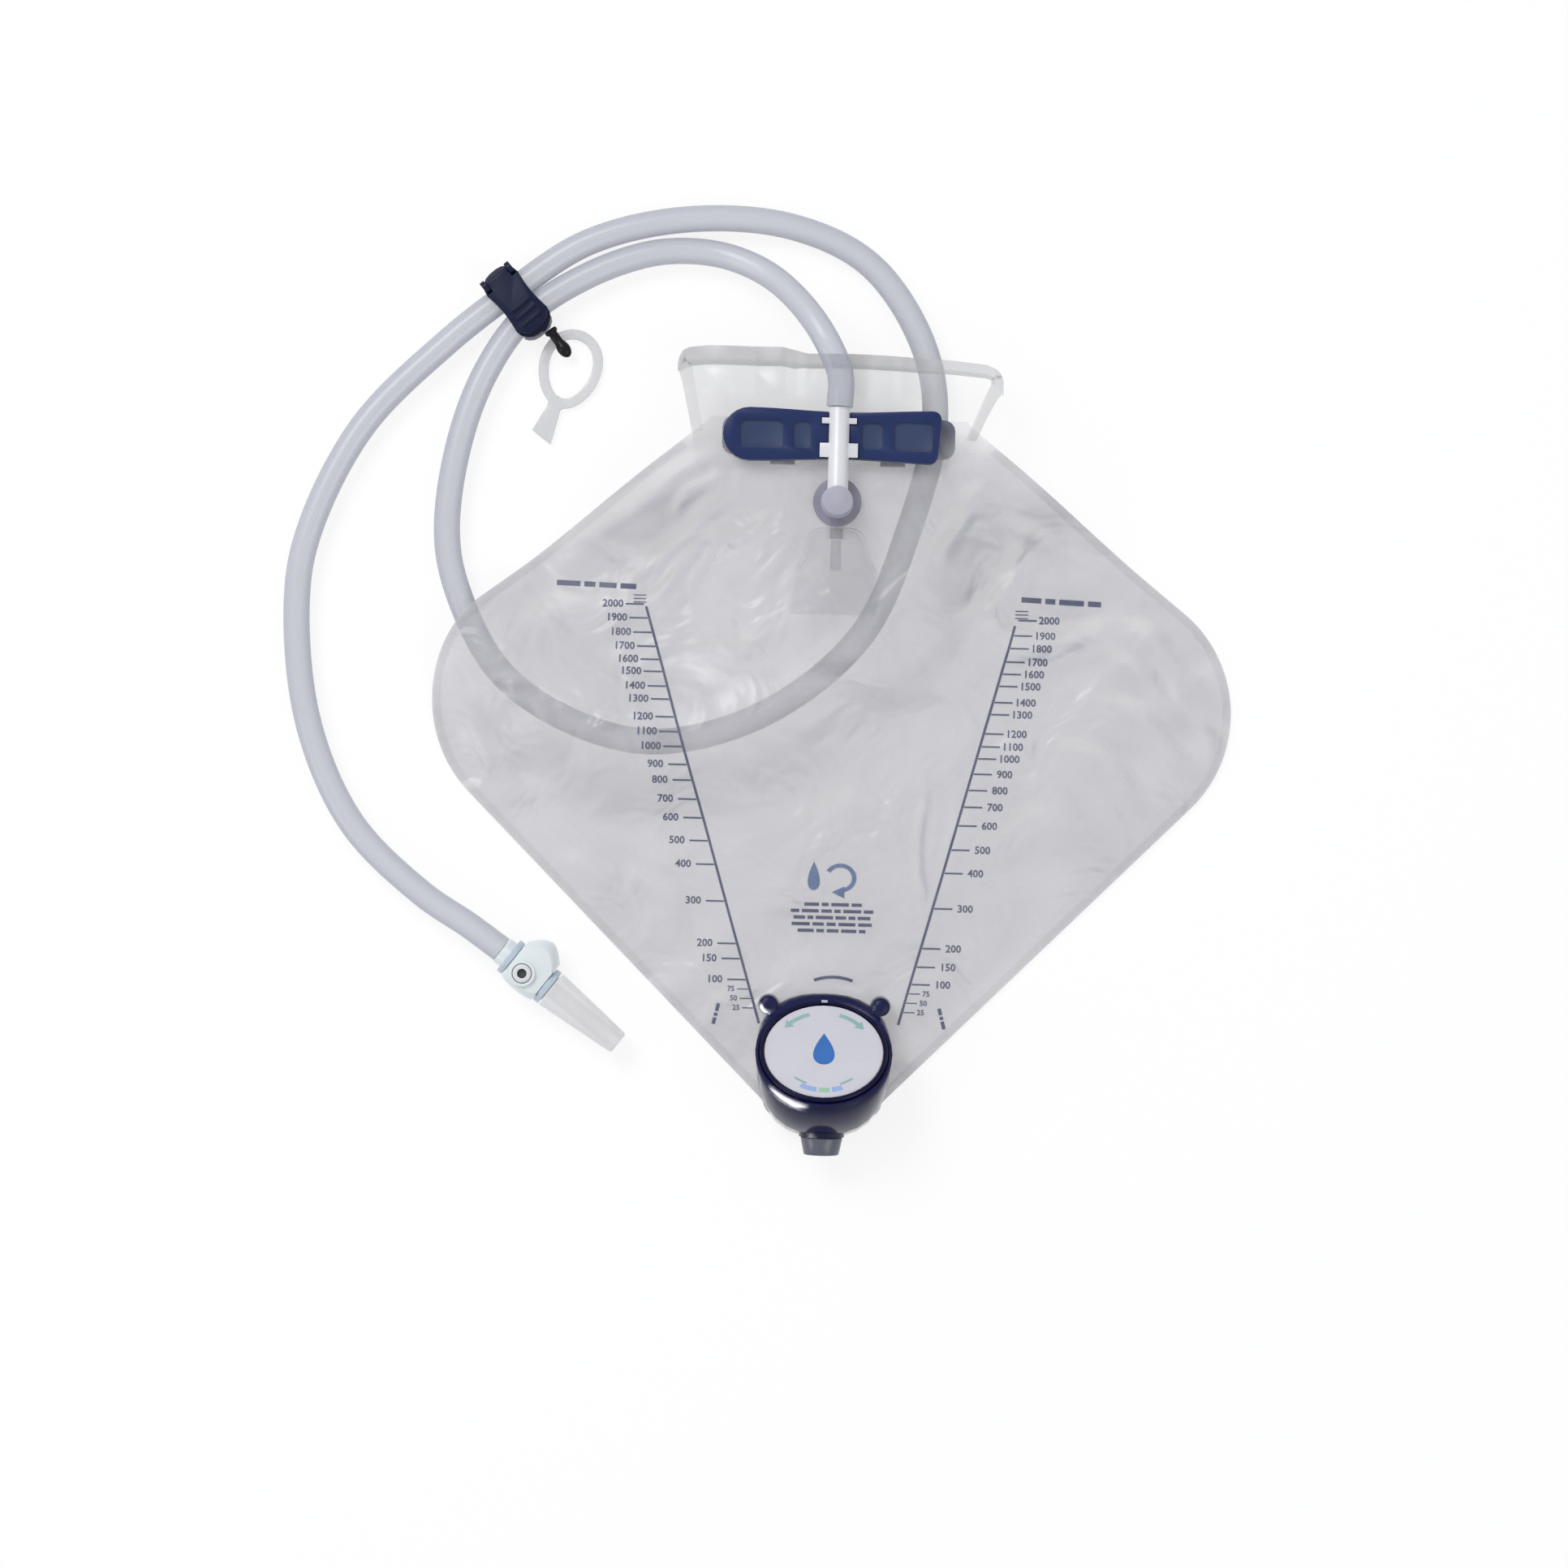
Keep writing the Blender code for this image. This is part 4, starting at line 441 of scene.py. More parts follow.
for face in plug_mesh.polygons:
    rim = max((Vector(plug_mesh.vertices[k].co[:2]) - PORT_SPOT).length for k in face.vertices)
    if rim < PORT_MOUTH:
        face.material_index = 1
collar_near = moulding("tube_collar", collar_plastic, 0.0002)
collar_far = moulding("adapter_collar", collar_plastic, 0.0002)
adapter = moulding("catheter_adapter", adapter_plastic, 0.0002)


# Bag. Two sheets of milky PVC film, cut to a lozenge and welded together round the edge.
# The back lies on the table and over the tube; the front stands a little off it, and is
# creased from the way the bag was folded in its packet.

FILM_TOP = 0.118 + SHIFT
FILM_FOOT = -0.1365 + SHIFT
WELD_TOP = 0.099 + SHIFT
RAMP = (0.064 + SHIFT, 0.039)
LOW_FILM = 0.0003
TOP_BACK_FILM = 0.0193
TOP_FRONT_FILM = 0.02005
FILM_PITCH = 0.00075
VALVE_UP = -0.1091 + SHIFT
# The bag's outline: its widest half, the corner's radius, and each stretch of its side
BAG_SIDE, SIDE_RADIUS = 0.145, 0.0478
UPPER_TURN, LOWER_TURN = math.atan(0.895), math.atan(1.0)
SHOULDER_END, SHOULDER_LEAST = (0.0506, 0.1136), 0.046
FLANK_START, FLANK_LEAST = (0.0278, -0.1222), 0.0215
FOOT_START, FOOT_DROP, FOOT_HALF, FOOT_ROUND = -0.1285, 0.008, 0.0075, 0.014
# How the films rise over the tube, part over the contents and stay low round the valve
UNDER_BAG, DRAPE = 0.0126, 0.034
WELD, DOME, DOME_REACH, SIDE_LEAN = 0.003, 0.006, 0.060, 0.72
VALVE_FILM, VALVE_CALM, VALVE_SPREAD = 0.0022, 0.036, 0.024
SEAM_BEAD, SEAM_BEAD_AT, SEAM_BEAD_WIDTH = 0.00012, 0.0022, 0.0006
# Where the film is held up or lies calm, each as the start and run of a smooth step
HELD_ACROSS, HELD_UP, HELD_PAST = (0.025, 0.030), (0.010, 0.034), 0.010
FREE_OF_WELD, FREE_OF_VALVE = (WELD, 0.010), (0.034, 0.020)
CHAMBER_ACROSS, CHAMBER_UP, CHAMBER_CALM = (0.019, 0.008), (0.040, 0.008), 0.8


def eased(value, start=0.0, run=1.0):
    """A smooth step from zero to one over a run."""
    t = np.clip((value - start) / run, 0.0, 1.0)
    return t * t * (3 - 2 * t)


def bag_half(y):
    """Half the bag's width at each height: slanted sides, round corners, round foot."""
    y = np.asarray(y, float) - SHIFT
    middle = BAG_SIDE - SIDE_RADIUS
    lower_x = middle + SIDE_RADIUS * math.sin(LOWER_TURN)
    lower_y = FLANK_START[1] + (lower_x - FLANK_START[0])
    centre_y = lower_y + SIDE_RADIUS * math.cos(LOWER_TURN)
    upper_x = middle + SIDE_RADIUS * math.sin(UPPER_TURN)
    upper_y = centre_y + SIDE_RADIUS * math.cos(UPPER_TURN)
    slope = (SHOULDER_END[0] - upper_x) / (SHOULDER_END[1] - upper_y)
    shoulder = np.maximum(upper_x + (y - upper_y) * slope, SHOULDER_LEAST)
    corner = middle + np.sqrt(np.maximum(SIDE_RADIUS ** 2 - (y - centre_y) ** 2, 0.0))
    flank = np.maximum(FLANK_START[0] + (y - FLANK_START[1]), FLANK_LEAST)
    drop = np.minimum(y - FOOT_START, 0.0) / FOOT_DROP
    foot = FOOT_HALF + FOOT_ROUND * np.sqrt(np.maximum(1 - drop ** 2, 0.0))
    stretches = [y >= upper_y, y >= lower_y, y >= FOOT_START]
    return np.select(stretches, [shoulder, corner, flank], foot)


def film_inset(x, y):
    """How far each place lies inside the bag's edge."""
    return np.minimum(np.minimum((bag_half(y) - np.abs(x)) * SIDE_LEAN, y - FILM_FOOT), WELD_TOP - y)


def tube_distance(x, y):
    """How far each place on the bag is from the tube beneath it."""
    ends = []
    for number in TUBE_UNDER_BAG:
        place = Vector(TUBE_ROUTE[number]) + Vector((0, SHIFT, 0))
        ends.append(min(range(len(tube_points)), key=lambda i: (tube_points[i] - place).length))
    best = np.full(x.shape, 1.0)
    for p in tube_points[ends[0]:ends[1] + 1]:
        best = np.minimum(best, np.hypot(x - p.x, y - p.y))
    return best


def back_height(x, y):
    """The back film: low on the table, up to the header at its top, and over the tube."""
    base = LOW_FILM + (TOP_BACK_FILM - LOW_FILM) * eased(y, *RAMP)
    near = np.minimum(tube_distance(x, y) / DRAPE, 1.0)
    return base + np.maximum(UNDER_BAG - base, 0.0) * (0.5 + 0.5 * np.cos(math.pi * near))


# Each crease: its ends and the height of its bow in metres, its width, and its rise
CREASES = (
    (-0.104, 0.060, -0.036, 0.107, 0.004, 0.0042, 0.0014),
    (-0.090, 0.052, -0.030, 0.096, -0.003, 0.0036, 0.0012),
    (-0.072, 0.046, -0.024, 0.088, 0.003, 0.0030, 0.0011),
    (-0.062, 0.080, -0.040, 0.100, 0.001, 0.0024, 0.0010),
    (-0.050, 0.060, -0.018, 0.084, 0.003, 0.0028, 0.0012),
    (-0.118, 0.036, -0.060, 0.052, 0.006, 0.0050, 0.0012),
    (0.038, 0.062, 0.056, 0.098, 0.004, 0.0034, 0.0013),
    (0.046, 0.044, 0.070, 0.082, -0.005, 0.0036, 0.0013),
    (0.058, 0.084, 0.084, 0.066, 0.003, 0.0032, 0.0010),
    (0.040, 0.048, 0.110, 0.052, -0.010, 0.0046, 0.0012),
    (0.052, 0.030, 0.112, 0.036, 0.007, 0.0042, 0.0012),
    (0.098, 0.050, 0.136, 0.016, 0.006, 0.0040, 0.0015),
    (0.092, 0.038, 0.130, 0.004, 0.007, 0.0034, 0.0015),
    (0.088, 0.022, 0.134, -0.012, 0.008, 0.0034, 0.0013),
    (0.080, 0.006, 0.118, -0.024, 0.005, 0.0032, 0.0011),
    (0.116, 0.030, 0.140, -0.002, 0.004, 0.0026, 0.0012),
    (0.064, 0.012, 0.100, -0.034, -0.004, 0.0044, 0.0010),
    (0.033, 0.000, 0.034, -0.068, 0.000, 0.0020, 0.0010),
    (-0.134, 0.010, -0.104, -0.022, -0.006, 0.0040, 0.0012),
    (-0.110, -0.006, -0.070, -0.040, -0.005, 0.0050, 0.0010),
    (-0.078, -0.040, -0.050, -0.070, 0.003, 0.0040, 0.0009),
    (-0.126, 0.022, -0.098, -0.004, 0.004, 0.0030, 0.0010),
    (0.052, -0.040, 0.084, -0.020, 0.003, 0.0036, 0.0008),
    (-0.020, 0.028, 0.024, 0.020, 0.002, 0.0040, 0.0007),
    (-0.018, -0.030, 0.018, -0.018, 0.002, 0.0050, 0.0006),
    (-0.060, 0.034, -0.020, 0.040, -0.004, 0.0040, 0.0009),
    (0.066, 0.060, 0.098, 0.040, -0.004, 0.0028, 0.0010),
    (-0.088, 0.070, -0.064, 0.062, 0.002, 0.0026, 0.0009))
CREASE_WANDER, CREASE_TAPER = 0.0012, 0.35
HOLLOW_DEPTH, HOLLOW_AT, HOLLOW_WIDTH = 0.55, 1.6, 1.3
# Painted shade and light across the folds: the sampling step, its share to the side, the gain, and the least
# and most alpha factor
SHADE_STEP, SHADE_SIDE, SHADE_GAIN, SHADE_LEAST, SHADE_MOST = 0.0006, 0.7, 2.0, 0.35, 1.9


def crease_height(x, y):
    """Soft ridges and the hollows beside them, along the folds that the bag keeps."""
    rise = np.zeros(x.shape)
    for ax, ay, bx, by, bow, width, height in CREASES:
        run = math.hypot(bx - ax, by - ay)
        ux, uy = (bx - ax) / run, (by - ay) / run
        along = ((x - ax) * ux + (y - SHIFT - ay) * uy) / run
        aside = -(x - ax) * uy + (y - SHIFT - ay) * ux
        aside = aside - bow * 4 * along * (1 - along) + CREASE_WANDER * np.sin(along * 9 + ax * 90)
        taper = eased(along, 0.0, CREASE_TAPER) * eased(1 - along, 0.0, CREASE_TAPER)
        hollow = np.exp(-((aside - HOLLOW_AT * width) / (HOLLOW_WIDTH * width)) ** 2)
        rise = rise + height * taper * (np.exp(-(aside / width) ** 2) - HOLLOW_DEPTH * hollow)
    waves = np.sin(x * 210 + 3 * np.sin(y * 90)) * np.sin(y * 170 + 2 * np.sin(x * 70 + 1))
    slow = np.sin(x * 75 + 2.2 * np.sin(y * 38 + 1)) * np.cos(y * 62 + 1.7 * np.sin(x * 31))
    soft = np.sin(x * 118 + 2.6 * np.sin(y * 61 + 2.0)) * np.sin(y * 96 - x * 52 + 1.8 * np.sin(x * 47))
    return rise + 0.00010 * waves + 0.00035 * slow + 0.00030 * soft


def front_height(x, y):
    """The front film: a low dome over the back film, held up under the hanger."""
    share = np.clip((film_inset(x, y) - WELD) / DOME_REACH, 0.0, 1.0)
    dome = DOME * (1 - (1 - share) ** 2)
    at_valve = 1 - eased(np.hypot(x, y - VALVE_UP), VALVE_CALM, VALVE_SPREAD)
    parted = VALVE_FILM - LOW_FILM - FILM_PITCH
    dome = np.minimum(dome, parted) * at_valve + dome * (1 - at_valve)
    height = back_height(x, y) + FILM_PITCH + dome
    held = (1 - eased(np.abs(x), *HELD_ACROSS)) * eased(y - SHIFT, *HELD_UP)
    lifted = height + np.maximum(TOP_FRONT_FILM - height, 0.0) * held
    return np.where(y < WELD_TOP + HELD_PAST, lifted, height)


def creased_front(x, y):
    """The front film with its creases, calm at the weld and round each fitting."""
    inset = film_inset(x, y)
    free = eased(inset, *FREE_OF_WELD) * eased(np.hypot(x, y - VALVE_UP), *FREE_OF_VALVE)
    near_chamber = (1 - eased(np.abs(x), *CHAMBER_ACROSS)) * eased(y - SHIFT, *CHAMBER_UP)
    rise = crease_height(x, y) * free
    rise = np.where(rise > 0, rise * (1 - CHAMBER_CALM * near_chamber), rise * (1 - near_chamber))
    bead = SEAM_BEAD * np.exp(-((inset - SEAM_BEAD_AT) / SEAM_BEAD_WIDTH) ** 2)
    return front_height(x, y) + rise + bead


def fold_shade(x, y):
    """Painted shade and light across each fold: more alpha, so darker, on the side away from the upper left
    lamp, and less, so lighter, on the side towards it.
    """
    side = SHADE_SIDE * SHADE_STEP
    to_light = crease_height(x - side, y + side) - crease_height(x + side, y - side)
    return np.clip(1.0 + SHADE_GAIN * to_light / SHADE_STEP, SHADE_LEAST, SHADE_MOST)


def past_weld(y):
    """From zero on the bag to one on the header, across the weld at the bag's top."""
    return eased(y, FILM_TOP - 0.014, 0.012)


def shade_layers(piece, amounts):
    """Store how many layers of film each vertex stands for; on the bag's front film this also holds painted
    shade and light across the folds.
    """
    layer = piece.data.attributes.new("layers", "FLOAT", "POINT")
    layer.data.foreach_set("value", np.asarray(amounts, np.float32))


def row_heights(foot_rows, rows, top):
    """The heights of a grid's rows, close together in the round foot."""
    foot_end = FILM_FOOT + FOOT_ROUND
    return np.concatenate((np.linspace(FILM_FOOT, foot_end, foot_rows), np.linspace(foot_end, top, rows)[1:]))


def grid_sheet(name, columns, rows, shape, layers):
    """A soft sheet drawn as a grid, its shape given from across (-1 to 1) and up (0 to 1)."""
    bpy.ops.mesh.primitive_grid_add(x_subdivisions=columns, y_subdivisions=rows, size=2.0)
    piece = bpy.context.object
    piece.name = name
    spots = np.array([tuple(vert.co) for vert in piece.data.vertices])
    places = np.stack(shape(spots[:, 0], (spots[:, 1] + 1) / 2), 1)
    piece.data.vertices.foreach_set("co", places.astype(np.float32).ravel())
    piece.data.update()
    bpy.ops.object.shade_smooth()
    shade_layers(piece, layers(places[:, 0], places[:, 1]))
    return piece


def film_sheet(name, height, rows, columns):
    """A film as a grid to the bag's outline."""
    heights = row_heights(14, rows, FILM_TOP)

    def shape(across, up):
        y = heights[np.rint(up * (len(heights) - 1)).astype(int)]
        x = across * bag_half(y)
        return x, y, height(x, y)

    # Past the weld the film thins; on the front film painted shade and light across the folds are laid on as
    # well
    def layers(x, y):
        return (1 - 0.75 * past_weld(y)) * (fold_shade(x, y) if height is creased_front else 1.0)

    return grid_sheet(name, columns, len(heights) - 1, shape, layers)


bag_rows = np.linspace(FILM_FOOT, FILM_TOP, 600)
bag_area = float(np.trapz(2 * bag_half(bag_rows), bag_rows))
film_milk = pvc("bag_film_milky", (0.575, 0.565, 0.59), (0.45, 0.448, 0.49), 0.46, 0.82, 13.0, 0.05,
                0.30, 0.4, 1.0, "layers")
for film_name, film_height, film_rows, film_columns, film_node, film_under in (
        ("bag_film_back", back_height, 110, 110, "back_film", "drain_tube_clear"),
        ("bag_film_front", creased_front, 250, 230, "front_film", "bag_film_back")):
    film = film_sheet(film_name, film_height, film_rows, film_columns)
    film.data.materials.append(film_milk)
    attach(film, "bag")
    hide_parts(film_node)


# Weld seam. The two films are welded in a band 3 mm wide all round the lozenge, which
# shows a little denser than the film, with a fine bead pressed up along its inner edge.

def seam_band(name, inner, outer, lift):
    """A band that follows the bag's outline between two insets, on the front film."""
    heights = row_heights(24, 170, FILM_TOP - 0.009)
    half = bag_half(heights)
    right = [Vector((w, h)) for w, h in zip(half, heights)]
    left = [Vector((-w, h)) for w, h in zip(half[::-1], heights[::-1])]
    line = left + right
    spots = []
    for k, here in enumerate(line):
        run = (line[min(k + 1, len(line) - 1)] - line[max(k - 1, 0)]).normalized()
        inward = Vector((-run.y, run.x))
        spots.extend(here + inward * inset for inset in (outer, (inner + outer) / 2, inner))
    flat = np.array([tuple(spot) for spot in spots])
    tall = creased_front(flat[:, 0], flat[:, 1]) + lift
    faces = [(a, a + 3, a + 4, a + 1) for k in range(len(line) - 1) for a in (3 * k, 3 * k + 1)]
    piece = drawn(name, [(x, y, z) for (x, y), z in zip(spots, tall)], faces)
    bpy.ops.object.shade_smooth()
    return piece


seam_milk = pvc("bag_weld_band", (0.42, 0.42, 0.43), (0.36, 0.36, 0.37), 0.10, 0.40, 90.0, 0.10, 0.3)
weld_seam = seam_band("bag_weld_seam", 0.0032, 0.0002, 0.00012)
weld_seam.data.materials.append(seam_milk)
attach(weld_seam, "bag")


# Print on the bag. Two volume scales lean in towards the valve, each a line with a tick and
# a number for every volume. Between them stand a drop with an arrow and rows of small
# text, printed in blue-grey ink. The texts are too small to read, so they are plain rules.

PRINT_LIFT = 0.00022
TEXT_SIZE = 0.0038
# Volumes in mL, and where their ticks stand up the bag beside the right and left line
SCALE_VALUES = (*range(2000, 100, -100), 150, 100)
RIGHT_ROWS = (0.0513, 0.0457, 0.0410, 0.0361, 0.0317, 0.0273, 0.0214, 0.0170, 0.0100, 0.0053, 0.0009,
              -0.0047, -0.0106, -0.0167, -0.0235, -0.0323, -0.0408, -0.0537, -0.0683, -0.0751, -0.0815)
LEFT_ROWS = (0.0539, 0.0489, 0.0437, 0.0387, 0.0340, 0.0296, 0.0243, 0.0196, 0.0132, 0.0079, 0.0026,
             -0.0038, -0.0094, -0.0162, -0.0229, -0.0311, -0.0396, -0.0528, -0.0681, -0.0736, -0.0812)
RIGHT_LINE = ((0.0656, 0.0493), (0.0269, -0.0963))
LEFT_LINE = ((-0.0680, 0.0531), (-0.0236, -0.0969))
LINE_WIDTH, TICK_WIDTH, FINE_WIDTH = 0.0009, 0.0006, 0.0004
TICK_START, TICK_END, NUMBER_AT = 0.0006, 0.0072, 0.0118
# Below the lowest volume stand finer ticks and numbers, and at the scale's head three rules
FINE_VALUES = (75, 50, 25)
FINE_PITCH, FINE_END, FINE_NUMBER_AT, FINE_SIZE = 0.0034, 0.0046, 0.0068, 0.0027
RULE_DROP, RULE_PITCH = 0.0006, 0.0013
STRIP_STEP = 0.0012


def on_line(line, y):
    """How far across the bag a scale's line stands at a height."""
    (top_x, top_y), (low_x, low_y) = line
    return low_x + (top_x - low_x) * (y - low_y) / (top_y - low_y)


def add_band(parts, pairs):
    """A band of faces between two rows of places, given pair by pair."""
    base = len(parts[0])
    for pair in pairs:
        parts[0].extend(pair)
    for a in range(base, base + 2 * len(pairs) - 2, 2):
        parts[1].append((a, a + 1, a + 3, a + 2))


def add_strip(parts, start, end, width):
    """A straight printed line between two places, cut fine enough to lie on the film."""
    start, end = Vector(start), Vector(end)
    count = max(int((end - start).length / STRIP_STEP), 1)
    side = Vector((start.y - end.y, end.x - start.x)).normalized() * width / 2
    heres = [start.lerp(end, k / count) for k in range(count + 1)]
    add_band(parts, [(here + side, here - side) for here in heres])


def add_ring(parts, centre, radius, width, first, last, stretch=1.0):
    """A printed arc between two angles in degrees."""
    count = max(int(abs(last - first) / 6), 2)
    pairs = []
    for k in range(count + 1):
        turn = math.radians(first + (last - first) * k / count)
        pairs.append([Vector((centre[0] + reach * math.cos(turn),
                              centre[1] + reach * math.sin(turn) * stretch))
                      for reach in (radius + width / 2, radius - width / 2)])
    add_band(parts, pairs)


def add_patch(parts, outline):
    """A small printed shape filled with ink, fanned from its middle."""
    base = len(parts[0])
    middle = sum((Vector(p) for p in outline), Vector((0.0, 0.0))) / len(outline)
    parts[0].extend([middle] + [Vector(p) for p in outline])
    count = len(outline)
    parts[1].extend([(base, base + 1 + k, base + 1 + (k + 1) % count) for k in range(count)])


def add_small_text(parts, start, end, height, words):
    """A row of small print: short bars with gaps, as text too small to read looks."""
    start, end = Vector(start), Vector(end)
    total = sum(words) + 0.5 * (len(words) - 1)
    at = 0.0
    for word in words:
        add_strip(parts, start.lerp(end, at / total), start.lerp(end, (at + word) / total), height)
        at += word + 0.5


def drop_outline(middle, half_width, half_height, count):
    """The outline of a drop that stands on its round end."""
    return [(middle[0] + half_width * math.sin(t) * (0.5 - 0.5 * math.cos(t)) ** 0.6,
             middle[1] + half_height * math.cos(t))
            for t in np.linspace(0.0, 2 * math.pi, count, endpoint=False)]


def add_numbers(parts, labels):
    """Each label as flat glyphs, with its middle at a place."""
    for body, x, y, size in labels:
        bpy.ops.object.text_add()
        label = bpy.context.object
        label.data.body = str(body)
        label.data.size = size
        label.data.align_x = label.data.align_y = "CENTER"
        label.data.resolution_u = 2
        label.data.offset = size * 0.022
        bpy.ops.object.convert(target="MESH")
        label = bpy.context.object
        base = len(parts[0])
        for vert in label.data.vertices:
            parts[0].append(Vector(vert.co[:2]) + Vector((x, y)))
        parts[1].extend(tuple(base + v for v in face.vertices) for face in label.data.polygons)
        bpy.data.objects.remove(label, do_unlink=True)


def printed(name, parts, finish, height, body="bag", to_world=Matrix.Identity(4)):
    """Ink laid on a surface as one thin piece, facing up."""
    spots = np.array([tuple(p) for p in parts[0]])
    tall = height(spots[:, 0], spots[:, 1]) + PRINT_LIFT
    piece = drawn(name, [(x, y, z) for (x, y), z in zip(spots.tolist(), tall.tolist())], parts[1])
    mesh = piece.data
    mesh.transform(to_world)
    mesh.update()
    bpy.ops.object.mode_set(mode="EDIT")
    bpy.ops.mesh.select_all(action="SELECT")
    bpy.ops.mesh.normals_make_consistent(inside=False)
    bpy.ops.mesh.quads_convert_to_tris(quad_method="BEAUTY", ngon_method="BEAUTY")
    bpy.ops.object.mode_set(mode="OBJECT")
    flat_up = to_world.to_3x3() @ Vector((0, 0, 1))
    for face in mesh.polygons:
        if face.normal.dot(flat_up) < 0:
            face.flip()
    mesh.update()
    mesh.materials.append(finish)
    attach(piece, body)


def ink(name, colour, worn, cover=0.94):
    """Flexible printing ink: matt, and a little patchy where it was rubbed."""
    material, tree, shader = new_material(name, 0.25)
    set_inputs(shader, Roughness=0.42, Alpha=cover)
    rub = add_noise(tree, Detail=4.0, Scale=240.0)
    mottled(tree, shader, rub.outputs["Fac"], colour, worn)
    return material


def volume_scale(line, rows, side):
    """One scale: its line, a tick and a number for each volume, and fine marks at its foot."""
    labels = []
    strips = ([], [])
    add_strip(strips, line[0], line[1], LINE_WIDTH)
    for value, y in zip(SCALE_VALUES, rows):
        x = on_line(line, y)
        add_strip(strips, (x + side * TICK_START, y), (x + side * TICK_END, y), TICK_WIDTH)
        labels.append((value, x + side * NUMBER_AT, y, TEXT_SIZE))
    for step, value in enumerate(FINE_VALUES):
        y = rows[-1] - FINE_PITCH * (step + 1)
        x = on_line(line, y)
        add_strip(strips, (x + side * TICK_START, y), (x + side * FINE_END, y), FINE_WIDTH)
        labels.append((value, x + side * FINE_NUMBER_AT, y, FINE_SIZE))
    for step in (1, 2, 3):
        y = rows[0] - RULE_DROP + RULE_PITCH * step
        add_strip(strips, (line[0][0], y), (line[0][0] + side * FINE_END, y), FINE_WIDTH)
    add_numbers(strips, labels)
    return strips


scale_ink = ink("print_blue_grey", (0.055, 0.062, 0.110), (0.120, 0.130, 0.190))
right_scale = volume_scale(RIGHT_LINE, RIGHT_ROWS, 1)
left_scale = volume_scale(LEFT_LINE, LEFT_ROWS, -1)
for scale, start, end, height, words in (
        (right_scale, (0.0677, 0.0588), (0.0967, 0.0578), 0.0019, (2.4, 1.2, 3.0, 1.6)),
        (right_scale, (0.0416, -0.0900), (0.0436, -0.0975), 0.0013, (2.0, 1.0, 2.4)),
        (left_scale, (-0.1007, 0.0612), (-0.0718, 0.0602), 0.0019, (3.0, 1.4, 2.2, 2.0)),
        (left_scale, (-0.0402, -0.0975), (-0.0384, -0.0900), 0.0013, (2.0, 1.0, 2.4))):
    add_small_text(scale, start, end, height, words)
printed("print_right_scale", right_scale, scale_ink, creased_front)
printed("print_left_scale", left_scale, scale_ink, creased_front)

notes = ([], [])
for left, right, up, words in (
        (-0.0082, 0.0126, -0.0531, (2.6, 1.2, 3.1, 1.8)),
        (-0.0130, 0.0168, -0.0555, (1.6, 3.2, 2.0, 1.2, 3.4, 1.8)),
        (-0.0120, 0.0158, -0.0579, (2.4, 1.2, 3.6, 2.2, 1.4, 2.6)),
        (-0.0126, 0.0164, -0.0603, (3.2, 2.0, 1.6, 3.0, 2.4)),
        (-0.0104, 0.0142, -0.0627, (3.0, 1.4, 2.2, 2.8, 1.2))):
    add_small_text(notes, (left, up), (right, up), 0.0012, words)
add_ring(notes, (0.0030, -0.1000), 0.0205, 0.0011, 70.0, 110.0)
printed("print_notes", notes, scale_ink, creased_front)

# A drop, and an arrow that curves down from it, as bags show which way the urine runs
pictogram = ([], [])
add_patch(pictogram, drop_outline((-0.0050, -0.0428), 0.0030, 0.0052, 28))
add_ring(pictogram, (0.0046, -0.0434), 0.0050, 0.0016, 150.0, -80.0, 0.9)
add_patch(pictogram, [(0.0062, -0.0464), (0.0062, -0.0508), (0.0016, -0.0486)])
pictogram_ink = ink("print_blue", (0.090, 0.130, 0.240), (0.150, 0.200, 0.310))
printed("print_pictogram", pictogram, pictogram_ink, creased_front)


# Header sheet. A stiffer clear sheet welded above the bag; the hanger is pressed through
# it. Its top and side edges are folded forward and welded down as a hem, and its left half
# lies doubled, so that it looks as milky as the bag.

HEADER_Z = 0.02085
HEADER_LOW, HEADER_TOP = 0.0990 + SHIFT, 0.1395 + SHIFT
HEADER_SIDE_ROWS = (HEADER_LOW, 0.1142, 0.1163, 0.1362, 0.1397)
HEADER_LEFT = (0.0510, 0.0526, 0.0531, 0.0576, 0.0584)
HEADER_RIGHT = (0.0490, 0.0490, 0.0500, 0.0587, 0.0587)
HEADER_TOP_AT = (-0.0584, -0.0578, -0.0566, -0.0542, -0.0480, -0.0210, -0.0116, 0.0102, 0.0367,
                 0.0524, 0.0562, 0.0581, 0.0587)
HEADER_TOP_LINE = (0.1402, 0.1430, 0.1450, 0.1462, 0.1470, 0.1468, 0.1446, 0.1449, 0.1436,
                   0.1424, 0.1408, 0.1388, 0.1362)
# The hanger's pieces, the tube and the folds stripe the doubled sheet: place, half width, extra
HEADER_STRIPES = ((-0.0250, 0.0050, 0.45), (-0.0140, 0.0012, -0.45), (0.0068, 0.0028, 0.30),
                  (0.0165, 0.0018, 0.25), (0.0265, 0.0038, 0.40))
# Across the hem from its outer edge to its inner one: share of its width, lift, layers of film
HEM_PROFILE = ((0.02, 0.0003, 1.0), (0.10, 0.0005, 0.95), (0.66, 0.0005, 0.95), (0.72, 0.00055, 1.35),
               (0.95, 0.00055, 1.35), (1.0, 0.0003, 1.0))
HEM_FOOT, HEM_SIDE, HEM_DEPTH, HEM_NARROWER = 0.30, 0.076, 0.157, 0.030


def header_place(across, up):
    """A place on the sheet, from its left side to its right and from its foot to its top."""
    nominal = HEADER_LOW + up * (HEADER_TOP - HEADER_LOW)
    left = np.interp(nominal, HEADER_SIDE_ROWS, HEADER_LEFT)
    right = np.interp(nominal, HEADER_SIDE_ROWS, HEADER_RIGHT)
    x = across * np.where(across < 0, left, right)
    top = np.interp(x, HEADER_TOP_AT, HEADER_TOP_LINE)
    return x, HEADER_LOW + up * (top - HEADER_LOW)


